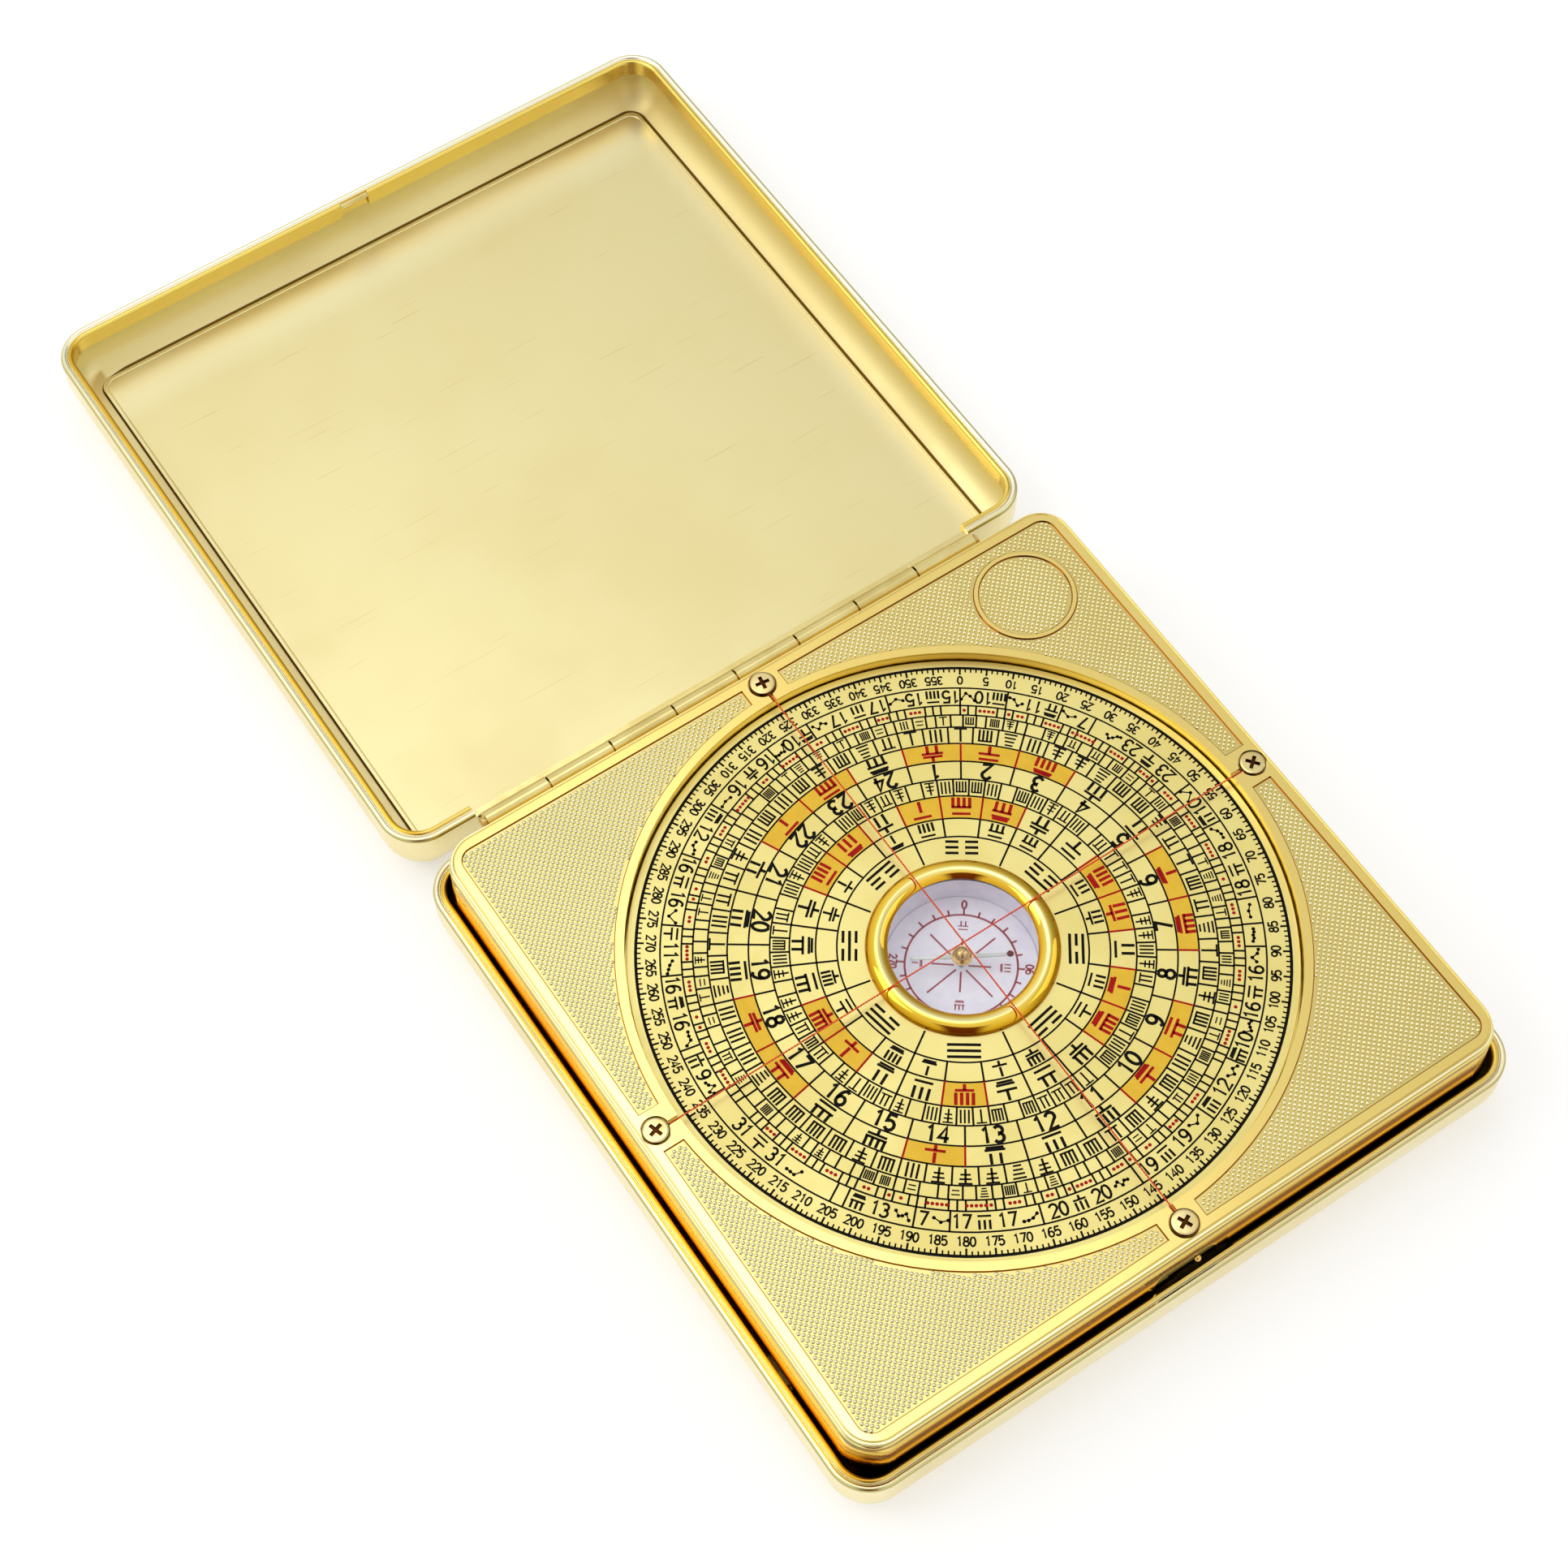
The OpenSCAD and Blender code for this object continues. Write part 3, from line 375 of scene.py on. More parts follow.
# Painted reflection and shade in bands by height: one set for the side walls, a darker one for the walls in
# front and behind; the dark bands stand for shade under the bead and in the gap at the wall's foot
side_light_bands = tone_bands(tree, plate_place[2], WALL_LOW_Z, WALL_HIGH_Z, (
    (9.0, tone(206, 160, 30)), (10.2, tone(230, 180, 26)), (12.0, tone(236, 178, 18)),
    (12.6, tone(246, 202, 72)), (13.4, tone(248, 208, 98)), (14.75, tone(250, 214, 110)),
    (14.95, tone(132, 112, 18)), (16.0, tone(132, 112, 18)), (16.07, tone(240, 230, 130)),
    (16.14, tone(250, 244, 170)), (16.26, tone(216, 188, 92)), (16.38, tone(226, 200, 104)),
    (16.52, tone(250, 240, 150)), (16.7, tone(255, 252, 205)), (17.0, tone(255, 252, 205))))
end_light_bands = tone_bands(tree, plate_place[2], WALL_LOW_Z, WALL_HIGH_Z, (
    (9.0, tone(36, 18, 2)), (10.1, tone(48, 24, 2)), (10.6, tone(210, 146, 18)),
    (11.4, tone(255, 204, 40)), (11.9, tone(232, 164, 22)), (12.4, tone(150, 80, 4)),
    (13.0, tone(180, 120, 16)), (13.6, tone(222, 170, 42)), (14.3, tone(248, 218, 88)),
    (14.8, tone(255, 238, 112)), (15.1, tone(230, 180, 50)), (15.3, tone(150, 104, 14)),
    (16.0, tone(160, 112, 18)), (16.08, tone(246, 228, 120)), (16.16, tone(252, 240, 150)),
    (16.26, tone(190, 146, 44)), (16.44, tone(236, 208, 104)), (16.62, tone(255, 252, 205))))
faces_end = ramp(tree, math_node(tree, "ABSOLUTE", face_split.outputs[1]), 0.4, 0.8)
outline = overlap(tree, ramp(tree, plate_place[2], 16.58, 16.54), ramp(tree, plate_place[2], 16.44, 16.47))
light_band_mask = ramp(tree, off_plate, -0.14, -0.06)
# The painted bands are strongest on the left and in front, the brightly lit sides
lit_sides = math_node(tree, "MAXIMUM", ramp(tree, plate_place[0], -38.0, -44.0),
                         ramp(tree, plate_place[1], -38.0, -44.0))
light_band_mask = overlap(tree, light_band_mask, ramp(tree, lit_sides, 0.0, 1.0, 0.4, 1.0))
colour = blend_colour(tree, light_band_mask, colour, blend_colour(tree, faces_end, side_light_bands, end_light_bands))
# Painted shade fills the recess under the catch nub, inside a painted highlight along its edge
off_recess = frame_distance(
    tree, (math_node(tree, "SUBTRACT", plate_place[0], RECESS_X), plate_place[2]), RECESS_Z,
    RECESS_HALF_W, RECESS_HALF_H, RECESS_CORNER)
in_front = ramp(tree, plate_place[1], -45.5, -46.0)
off_edge = math_node(tree, "ABSOLUTE", math_node(tree, "SUBTRACT", off_recess, 0.2))
recess_edge_highlight = overlap(tree, ramp(tree, off_edge, 0.2, 0.08), in_front)
colour = blend_colour(tree, recess_edge_highlight, colour, tone(255, 240, 160))
recess_shade = overlap(tree, ramp(tree, off_recess, 0.08, -0.04), in_front)
colour = blend_colour(tree, recess_shade, colour, tone(34, 20, 6))
# Painted highlight: the border on the left is palest, where it reflects the bright room
left_border_highlight = overlap(tree, ramp(tree, plate_place[0], -43.0, -46.0),
                  overlap(tree, ramp(tree, plate_place[1], 70.0, 0.0), upward))
colour = blend_colour(tree, left_border_highlight, colour, tone(255, 238, 172))
# Painted shade: a dark line in the groove at the foot of the bead
bead_groove_shade = overlap(tree, ramp(tree, off_plate, -0.42, -0.36), ramp(tree, off_plate, -0.18, -0.24))
colour = blend_colour(tree, overlap(tree, bead_groove_shade, 0.5), colour, tone(176, 148, 56))
# The sunk fields are greyer towards the left
greyer_left = ramp(tree, plate_place[0], GREYER_FROM_X, GREYER_TO_X)
colour = blend_colour(tree, sunk, colour,
                      blend_colour(tree, greyer_left, tone(230, 210, 130), tone(212, 199, 130)))
colour = blend_colour(tree, outline, colour, tone(158, 108, 36))
tree.links.new(colour, shader.inputs["Base Color"])
dress(plate_metal, "face_plate")


def in_field(x, y, margin):
    """True where a bump fits inside a sunk field."""
    if abs(x) < FIELD_BRIDGE + margin or abs(y) < FIELD_BRIDGE + margin:
        return False
    if math.hypot(x, y) < FIELD_WELL_R + margin:
        return False
    corner_x = max(0.0, abs(x) - (FIELD_HALF_X - FIELD_CORNER))
    corner_y = max(0.0, abs(y) - (FIELD_HALF_Y - FIELD_CORNER))
    if math.hypot(corner_x, corner_y) > FIELD_CORNER - margin:
        return False
    off_ring = abs(math.hypot(x - RING_CENTRE[0], y - RING_CENTRE[1]) - RING_R)
    return off_ring > RING_HALF_W + margin


def new_piece(name, points, faces, material, body, smooth=False):
    """Mesh object from points in mm, in the frame of the case, riding on a body."""
    mesh = bpy.data.meshes.new(name)
    mesh.from_pydata([tuple(c * MM for c in p) for p in points], [], faces)
    mesh.materials.append(material)
    if smooth:
        mesh.shade_smooth()
    mesh.update()
    piece = bpy.data.objects.new(name, mesh)
    bpy.context.scene.collection.objects.link(piece)
    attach(piece, body)
    return piece


bump_metal, tree, shader, colour = metal_finish(
    "plate_bump_gold", tone(255, 248, 204), tone(248, 235, 178), 0.2, along=0.8, across=0.8, depth=0.05,
    haze=0.08)
# The bumps are greyer towards the left
greyer_left = ramp(tree, place_xyz(tree)[0], GREYER_FROM_X, GREYER_TO_X, 0.0, 0.8)
tree.links.new(blend_colour(tree, greyer_left, colour, tone(232, 231, 198)), shader.inputs["Base Color"])
bump_points, bump_faces = [], []
bump_rise = PLATE_TOP_Z - FIELD_FLOOR_Z
lattice = int(LATTICE_REACH / BUMP_PITCH)
step = BUMP_PITCH / math.sqrt(2)
for i in range(-lattice, lattice):
    for j in range(-lattice, lattice):
        x, y = (i + j) * step, (i - j) * step
        if not in_field(x, y, BUMP_MARGIN):
            continue
        first = len(bump_points)
        for radius, height in ((BUMP_R, 0.0), (BUMP_R * BUMP_SHOULDER, BUMP_SHOULDER)):
            for k in range(BUMP_SIDES):
                turn = math.tau * k / BUMP_SIDES
                bump_points.append((x + radius * math.cos(turn), y + radius * math.sin(turn),
                                    FIELD_FLOOR_Z + bump_rise * height))
        bump_points.append((x, y, PLATE_TOP_Z))
        for k in range(BUMP_SIDES):
            following = (k + 1) % BUMP_SIDES
            bump_faces.append((first + k, first + following, first + BUMP_SIDES + following,
                               first + BUMP_SIDES + k))
            bump_faces.append((first + BUMP_SIDES + k, first + BUMP_SIDES + following,
                               first + 2 * BUMP_SIDES))
        bump_faces.append(tuple(first + k for k in reversed(range(BUMP_SIDES))))
new_piece("plate_mesh_bumps", bump_points, bump_faces, bump_metal, "tray",
          smooth=True)

# Clips and catch: two bent strips of bright spring steel hold the plate in the tray; a turned nub in
# the plate's front wall is what the lid's spring plate snaps over.
clip_metal, *_ = metal_finish("clip_steel", tone(236, 222, 176), tone(196, 176, 120), 0.22,
                              along=1.0, across=6.0, depth=0.2, haze=0.2, wear=0.08)
dress(clip_metal, "side_clips")
catch_metal, *_ = metal_finish("catch_gold", tone(244, 228, 166), tone(214, 190, 120), 0.18,
                               along=0.6, across=6.0, depth=0.15, haze=0.2, wear=0.08)
dress(catch_metal, "lid_catch")
nub_metal, *_ = metal_finish("nub_gold", tone(246, 214, 120), tone(210, 164, 70), 0.14,
                             along=2.0, across=2.0, depth=0.1, haze=0.4)
dress(nub_metal, "catch_nub")

# Compass capsule: a white moulded cup pressed through the dial, kept under the plate by a steel snap
# ring. A white card with a dark red scale lies on its floor, round the pivot pin.


def plain_finish(name, light, deep, roughness, count=0.6, bump=0.1, metallic=0.0):
    """Painted, moulded or printed surface: two close tones, mottled, with a fine bump."""
    material = bpy.data.materials.new(name)
    material.use_nodes = True
    tree = material.node_tree
    shader = tree.nodes["Principled BSDF"]
    shader.inputs["Metallic"].default_value = metallic
    grain = use_group(tree, grain_group, Along=count * 8, Across=count * 8, Depth=bump)
    cloud = use_group(tree, haze_group, Count=count)
    colour = blend_colour(tree, cloud.outputs["Mask"], light, deep)
    rough = ramp(tree, grain.outputs["Shade"], 0.3, 0.7, roughness - 0.05, roughness + 0.05)
    tree.links.new(colour, shader.inputs["Base Color"])
    tree.links.new(rough, shader.inputs["Roughness"])
    tree.links.new(grain.outputs["Normal"], shader.inputs["Normal"])
    return material, tree, shader, colour


cup_plastic, *_ = plain_finish("cup_white", tone(240, 238, 246), tone(230, 227, 240), 0.35)
dress(cup_plastic, "compass_cup")
keeper_metal, *_ = metal_finish("keeper_steel", tone(170, 170, 174), tone(120, 120, 126), 0.3,
                                along=1.0, across=1.0, depth=0.2, haze=0.3)
dress(keeper_metal, "dial_retaining_ring")
card_paper, *_ = plain_finish("card_white", tone(250, 248, 254), tone(243, 240, 250), 0.5, bump=0.05)
dress(card_paper, "compass_card")
pivot_metal, *_ = metal_finish("pivot_steel", tone(190, 190, 196), tone(140, 140, 148), 0.2,
                               along=2.0, across=2.0, depth=0.1, haze=0.5)
dress(pivot_metal, "pivot_pin")


# Printing: strokes of ink are built flat, on a sheet that is a list of points and a list of faces,
# with angles that run clockwise from the printed zero
def on_circle(radius, degrees):
    """Point on the dial, clockwise from its zero."""
    turn = math.radians(degrees)
    return radius * math.sin(turn), radius * math.cos(turn)


def add_stroke(sheet, path, width, closed=False):
    """Line of even width through the path's points, mitred at its bends."""
    count = len(path)
    left, right = [], []
    for index, (x, y) in enumerate(path):
        back = path[index - 1] if index or closed else None
        ahead = path[(index + 1) % count] if index < count - 1 or closed else None
        normals = []
        for (ax, ay), (bx, by) in [pair for pair in ((back, (x, y)), ((x, y), ahead))
                                   if pair[0] and pair[1]]:
            length = math.hypot(bx - ax, by - ay) or 1.0
            normals.append((-(by - ay) / length, (bx - ax) / length))
        nx, ny = (sum(n[0] for n in normals), sum(n[1] for n in normals))
        size = math.hypot(nx, ny) or 1.0
        nx, ny = nx / size, ny / size
        mitre = min(1.6, 1 / max(0.3, nx * normals[0][0] + ny * normals[0][1]))
        reach = width / 2 * mitre
        left.append((x + nx * reach, y + ny * reach))
        right.append((x - nx * reach, y - ny * reach))
    first = len(sheet[0])
    sheet[0].extend(left + right)
    for index in range(count if closed else count - 1):
        following = (index + 1) % count
        sheet[1].append((first + index, first + count + index, first + count + following,
                         first + following))


def add_band(sheet, inner, outer, start, end):
    """Filled piece of ring between two radii and two angles."""
    steps = max(1, math.ceil(abs(end - start) / 3))
    first = len(sheet[0])
    for index in range(steps + 1):
        degrees = start + (end - start) * index / steps
        sheet[0].extend((on_circle(inner, degrees), on_circle(outer, degrees)))
    for index in range(steps):
        corner = first + 2 * index
        sheet[1].append((corner, corner + 2, corner + 3, corner + 1))


def add_circle(sheet, radius, width):
    """Full printed circle."""
    add_stroke(sheet, [on_circle(radius, 2 * k) for k in range(180)], width, closed=True)


def add_spoke(sheet, inner, outer, degrees, width):
    """Radial printed line."""
    add_stroke(sheet, [on_circle(inner, degrees), on_circle(outer, degrees)], width)


def bow(cx, cy, rx, ry, start, end, steps=8):
    """Points of a bow; angles in degrees against the clock from the right."""
    turns = [math.radians(start + (end - start) * k / steps) for k in range(steps + 1)]
    return [(cx + rx * math.cos(t), cy + ry * math.sin(t)) for t in turns]


DIGITS = {
    "0": [bow(0, 0, 0.27, 0.5, 90, 450, 14)],
    "1": [[(-0.16, 0.3), (0.04, 0.5), (0.04, -0.5)]],
    "2": [bow(0, 0.22, 0.27, 0.28, 165, -25) + [(-0.28, -0.5), (0.3, -0.5)]],
    "3": [bow(-0.02, 0.25, 0.25, 0.25, 150, -80) + bow(-0.02, -0.22, 0.29, 0.28, 80, -150)],
    "4": [[(0.12, -0.5), (0.12, 0.5), (-0.3, -0.2), (0.3, -0.2)]],
    "5": [[(0.25, 0.5), (-0.2, 0.5), (-0.25, 0.04)] + bow(0, -0.18, 0.28, 0.32, 128, -150)],
    "6": [bow(0, -0.2, 0.27, 0.3, 90, 450, 12), bow(0.05, -0.12, 0.32, 0.62, 62, 185, 6)],
    "7": [[(-0.28, 0.5), (0.28, 0.5), (-0.06, -0.5)]],
    "8": [bow(0, 0.26, 0.22, 0.24, 90, 450, 12), bow(0, -0.23, 0.28, 0.27, 90, 450, 12)],
    "9": [bow(0, 0.2, 0.27, 0.3, 90, 450, 12), bow(-0.05, 0.12, 0.32, 0.62, 242, 365, 6)],
}


def place_on_dial(radius, degrees):
    """Turns points of an upright figure so that its top looks at the dial's centre."""
    cx, cy = on_circle(radius, degrees)
    turn = math.radians(degrees)
    return lambda u, v: (cx - u * math.cos(turn) - v * math.sin(turn),
                         cy + u * math.sin(turn) - v * math.cos(turn))


def add_number(sheet, text, radius, degrees, height, width, spread=0.74):
    """Number with its top towards the centre."""
    put = place_on_dial(radius, degrees)
    for index, digit in enumerate(text):
        shift = (index - (len(text) - 1) / 2) * spread * height
        for path in DIGITS[digit]:
            add_stroke(sheet, [put(shift + u * height, v * height) for u, v in path], width)


def add_lines_figure(sheet, pattern, radius, degrees, size, thickness):
    """Traditional figure of whole and broken bars, lowest bar first in the pattern."""
    put = place_on_dial(radius, degrees)
    wide, high = size
    pitch = high / (len(pattern) - 1)
    for index, whole in enumerate(pattern):
        v = -high / 2 + pitch * index
        spans = [(-wide / 2, wide / 2)] if whole else [(-wide / 2, -wide * 0.1), (wide * 0.1, wide / 2)]
        for start, end in spans:
            add_stroke(sheet, [put(start, v), put(end, v)], thickness)


def add_dot(sheet, centre, size, sides):
    """Round printed dot at a point of the sheet."""
    first = len(sheet[0])
    for k in range(sides):
        turn = math.tau * k / sides
        sheet[0].append((centre[0] + size * math.cos(turn), centre[1] + size * math.sin(turn)))
    sheet[1].append(tuple(range(first, first + sides)))


def rods(digit, upright):
    """Strokes of a counting-rod numeral in a unit square: a cross rod stands for five."""
    if digit == 0:
        return [bow(0, 0, 0.34, 0.4, 90, 450, 10)]
    count, five = (digit - 5, True) if digit > 5 else (digit, False)
    reach = (0.0, 0.22, 0.36, 0.42, 0.46)[count - 1]
    strokes = []
    for index in range(count):
        at = reach * (2 * index / (count - 1) - 1) if count > 1 else 0.0
        if upright:
            strokes.append([(at, -0.5), (at, 0.36 if five else 0.5)])
        else:
            at = -0.5 + 0.3 * index if five else at
            strokes.append([(-0.46 + 0.06 * index, at), (0.46 - 0.06 * index, at)])
    if five:
        strokes.append([(-0.5, 0.36), (0.5, 0.36)] if upright else [(0, -0.5), (0, 0.5)])
    return strokes


def add_rods(sheet, value, radius, degrees, size, width):
    """Number in counting rods: one digit, or the tens lying above the upright units."""
    put = place_on_dial(radius, degrees)
    wide, high = size
    parts = [(rods(value, value % 2 == 1), 0.0, 1.0)] if value < 10 else [
        (rods(value // 10, False), 0.36, 0.3), (rods(value % 10, True), -0.2, 0.6)]
    for strokes, rise, share in parts:
        for path in strokes:
            points = [put(u * wide, (rise + v * share) * high) for u, v in path]
            flat = abs(path[0][1] - path[-1][1]) < 0.01
            add_stroke(sheet, points, width * (0.85 if flat else 1.0))


STAR_LINE, STAR_DOT_R = 0.16, 0.24


def add_stars(sheet, chance, radius, degrees, size):
    """Star figure: three to five dots joined by thin lines."""
    put = place_on_dial(radius, degrees)
    count = chance.randint(3, 5)
    spots = [put(size * (index / (count - 1) - 0.5), size * chance.uniform(-0.34, 0.34))
             for index in range(count)]
    add_stroke(sheet, spots, STAR_LINE)
    for spot in spots:
        add_dot(sheet, spot, STAR_DOT_R, 8)


INK_T = 0.02


def print_sheet(name, sheet, zero_turn, top_z, material, body):
    """Makes the printed layer, a few hundredths of a millimetre thick, turned to its zero."""
    turn = math.radians(-zero_turn)
    points = [(x * math.cos(turn) - y * math.sin(turn), x * math.sin(turn) + y * math.cos(turn), top_z)
              for x, y in sheet[0]]
    faces = []
    for face in sheet[1]:
        area = sum(points[face[k - 1]][0] * points[face[k]][1] - points[face[k]][0] * points[face[k - 1]][1]
                   for k in range(len(face)))
        faces.append(face if area > 0 else face[::-1])
    depth = new_piece(name, points, faces, material, body).modifiers.new("ink_depth", "SOLIDIFY")
    depth.thickness = INK_T * MM
    depth.offset = -1.0


card_ink, *_ = plain_finish("card_ink", tone(170, 52, 62), tone(150, 40, 52), 0.45, bump=0.02)
CARD_ZERO, CARD_TOP_Z, CARD_SCALE_R, CARD_NUMBER_R, CARD_ROD_R = 38.1, 10.1, 7.0, 8.45, 5.45
card_print = ([], [])
add_circle(card_print, CARD_SCALE_R, 0.25)
for degrees in range(0, 360, 15):
    add_spoke(card_print, CARD_SCALE_R, 7.75 if degrees % 45 else 7.9, degrees, 0.24)
add_number(card_print, "0", CARD_NUMBER_R, 0, 1.05, 0.24)
add_number(card_print, "90", CARD_NUMBER_R, 90, 0.95, 0.22)
add_number(card_print, "270", CARD_NUMBER_R, 270, 0.9, 0.22)
for degrees in range(0, 360, 45):
    add_spoke(card_print, 0.9, 5.7 if degrees % 90 else 3.7, degrees, 0.22)
for degrees, value in ((0, 17), (90, 23), (180, 28), (270, 21)):
    add_rods(card_print, value, CARD_ROD_R, degrees, (1.3, 1.35), 0.17)
print_sheet("card_scale", card_print, CARD_ZERO, CARD_TOP_Z + 0.015, card_ink, "dial")

# Needle: a bright steel blade with a turned brass cap over a ruby jewel, balanced on the pin, and a
# dark red painted bead on the end that seeks the mark.
needle_metal, *_ = metal_finish("needle_steel", tone(206, 209, 204), tone(178, 182, 176), 0.34,
                                along=3.0, across=3.0, depth=0.1, haze=0.4)
dress(needle_metal, "needle_blade")
cap_metal, *_ = metal_finish("cap_brass", tone(232, 204, 142), tone(196, 158, 92), 0.22,
                             along=3.0, across=3.0, depth=0.15, haze=0.5, wear=0.08)
dress(cap_metal, "needle_cap")
jewel_gem, _, shader, _ = plain_finish("jewel_red", tone(140, 20, 40), tone(96, 8, 26), 0.12, bump=0.02)
shader.inputs["Coat Weight"].default_value = 0.6
dress(jewel_gem, "cap_jewel")
bead_paint, *_ = plain_finish("bead_red_paint", tone(128, 26, 30), tone(96, 14, 20), 0.28, bump=0.1)
dress(bead_paint, "needle_bead")

# Glass and bezel: a flat glass lies on a thin black seal, and a pressed ring, polished bright,
# grips the cup and closes the capsule.
glass = bpy.data.materials.new("capsule_glass")
glass.use_nodes = True
tree = glass.node_tree
shader = tree.nodes["Principled BSDF"]
shader.inputs["Base Color"].default_value = (0.97, 0.98, 1.0, 1.0)
shader.inputs["Transmission Weight"].default_value = 1.0
shader.inputs["IOR"].default_value = 1.02
shader.inputs["Alpha"].default_value = 0.35
shader.inputs["Coat Weight"].default_value = 0.8
smear = use_group(tree, haze_group, Count=0.25)
tree.links.new(ramp(tree, smear.outputs["Mask"], 0.0, 1.0, 0.0, 0.02), shader.inputs["Roughness"])
dress(glass, "compass_glass")
seal_rubber, *_ = plain_finish("seal_black", tone(38, 36, 36), tone(26, 24, 24), 0.6, count=1.2, bump=0.3)
dress(seal_rubber, "glass_seal_ring")
bezel_metal, tree, shader, _ = metal_finish(
    "bezel_polished_gold", tone(250, 210, 80), tone(244, 198, 66), 0.06, spread=0.02, along=0.3,
    across=0.3, depth=0.01, haze=0.1)
# Painted highlight along the crest and painted shade deepening to both edges
bezel_place = place_xyz(tree)
from_middle = math_node(tree, "SQRT", math_node(
    tree, "MULTIPLY_ADD", bezel_place[0], bezel_place[0],
    math_node(tree, "MULTIPLY", bezel_place[1], bezel_place[1])))
BEZEL_INNER_R, BEZEL_OUTER_R = 9.0, 12.1
bezel_light_bands = tone_bands(tree, from_middle, BEZEL_INNER_R, BEZEL_OUTER_R, (
    (9.0, tone(206, 146, 22)), (9.5, tone(240, 188, 48)), (9.95, tone(252, 212, 84)),
    (10.25, tone(255, 238, 160)), (10.55, tone(255, 238, 160)), (10.85, tone(252, 214, 84)),
    (11.4, tone(240, 192, 50)), (11.75, tone(214, 160, 28)), (12.0, tone(156, 104, 12))))
tree.links.new(bezel_light_bands, shader.inputs["Base Color"])
dress(bezel_metal, "compass_bezel")

# Dial: a brass disc plated pale gold and printed with rings of degrees, figures and numbers in
# black, with cells filled in deep gold and marked in red. It turns in the well on a narrow land.
DIAL_ZERO, DIAL_TOP_Z = 34.9, 15.1
dial_metal, *_ = metal_finish(
    "dial_printed_gold", tone(242, 228, 150), tone(235, 218, 133), 0.42, spread=0.04, along=0.5,
    across=2.0, depth=0.06, haze=0.06, wear=0.1)
dress(dial_metal, "dial_disc")
black_ink, _, shader, _ = plain_finish("dial_black_ink", tone(14, 11, 5), tone(8, 6, 3), 0.6, bump=0.02)
shader.inputs["Specular IOR Level"].default_value = 0.12
red_ink, _, shader, _ = plain_finish("dial_red_ink", tone(178, 16, 12), tone(158, 10, 8), 0.6, bump=0.02)
shader.inputs["Specular IOR Level"].default_value = 0.15
deep_gold_ink, *_ = plain_finish("dial_deep_gold_ink", tone(234, 190, 46), tone(230, 184, 40), 0.45,
                                 bump=0.0, metallic=0.3)
black, red, deep_gold = ([], []), ([], []), ([], [])
LINE, CIRCLE_LINE = 0.25, 0.22
EDGE_R, TICK_OUTER_R, DEGREE_NUMBER_R = 39.98, 39.9, 38.15
RINGS = (37.0, 34.4, 33.0, 31.2, 28.8, 26.2, 23.6, 21.2, 18.0, 15.4)
TRIGRAM_INNER_R, TRIGRAM_R = 12.2, 13.85

# Outer edge: a strong circle, degree ticks and a number at every fifth degree
add_circle(black, EDGE_R, 0.38)
for degrees in range(360):
    fifth = degrees % 5 == 0
    add_spoke(black, 39.0 if fifth else 39.35, TICK_OUTER_R, degrees, 0.26 if fifth else 0.2)
    if fifth:
        add_number(black, str(degrees), DEGREE_NUMBER_R, degrees, 1.12, 0.23, spread=0.7)
for radius in RINGS:
    add_circle(black, radius, CIRCLE_LINE)


def ring_middle(outer):
    """Middle radius of the ring of cells inside the circle with that index."""
    return (RINGS[outer] + RINGS[outer + 1]) / 2


# Uneven cells of the outer ring: a star figure, a number and a sign, as far as each cell has room
ROD_NUMBERS = [tens + units for tens in (10, 20, 60) for units in (1, 2, 3, 4, 6, 7, 8, 9)]
order = random.Random(7)
MANSION_WIDTHS = (9.6, 11.2, 7.1, 23.0, 9.8, 17.6, 5.7, 5.0, 16.0, 9.5, 12.5, 18.7, 20.0, 17.3, 6.7,
                  13.3, 2.5, 30.7, 9.0, 1.8, 16.0, 11.0, 15.8, 12.2, 16.5, 9.5, 17.0, 15.0)
whole_turn = sum(MANSION_WIDTHS)
edge = 0.0
for cell, width in enumerate(MANSION_WIDTHS):
    span = width * 360 / whole_turn
    add_spoke(black, RINGS[1], RINGS[0], edge, LINE)
    if span > 4:
        marks = 1 if span < 6 else 2 if span < 9 else 3 if span < 15 else 4
        pace = min(span / marks, 4.4)
        for index in range(marks):
            spot = edge + span / 2 + (index - (marks - 1) / 2) * pace
            if index == 0:
                add_stars(black, order, ring_middle(0), spot, 1.7)
            elif index % 2:
                add_number(black, str(round(width)), ring_middle(0), spot, 1.7, 0.3, spread=0.7)
            else:
                add_rods(black, order.choice(ROD_NUMBERS), ring_middle(0), spot, (1.75, 1.95), 0.3)
    edge += span

# Two narrow rings: groups of red dots, and cells with small signs
DOT_CELLS = (1.7, 1.7, 4.6, 1.7, 1.7, 3.2, 1.7, 1.7, 4.4, 1.7, 1.7, 4.2)
RED_DOT_R, RED_DOT_PITCH = 0.23, 0.95
edge = 0.0
for sector in range(12):
    for width in DOT_CELLS:
        add_spoke(black, RINGS[2], RINGS[1], edge, LINE)
        if width > 3 and order.random() < 0.9:
            dots = order.randint(2, 5) if width > 4 else order.randint(1, 3)
            for dot in range(dots):
                spot = edge + width / 2 + (dot - (dots - 1) / 2) * RED_DOT_PITCH
                add_dot(red, on_circle(ring_middle(1), spot), RED_DOT_R, 10)
        elif width < 3 and order.random() < 0.12:
            add_dot(red, on_circle(ring_middle(1), edge + width / 2), RED_DOT_R, 10)
        edge += width
NUMBER_CELLS = (3.0, 2.2, 4.0, 3.0, 2.2, 4.2, 3.0, 2.2, 3.4, 2.8)
edge = 0.6
for sector in range(12):
    for width in NUMBER_CELLS:
        add_spoke(black, RINGS[3], RINGS[2], edge, LINE)
        if width > 2.9 and order.random() < 0.85:
            add_rods(black, order.randint(2, 9), ring_middle(2), edge + width / 2, (1.1, 1.2), 0.2)
        edge += width

# Sixty cells, each with a small sign
for cell in range(60):
    add_spoke(black, RINGS[4], RINGS[3], 6 * cell + 3, LINE)
    add_rods(black, order.choice((3, 4, 6, 7, 8, 9)), ring_middle(3), 6 * cell, (1.8, 1.9), 0.28)

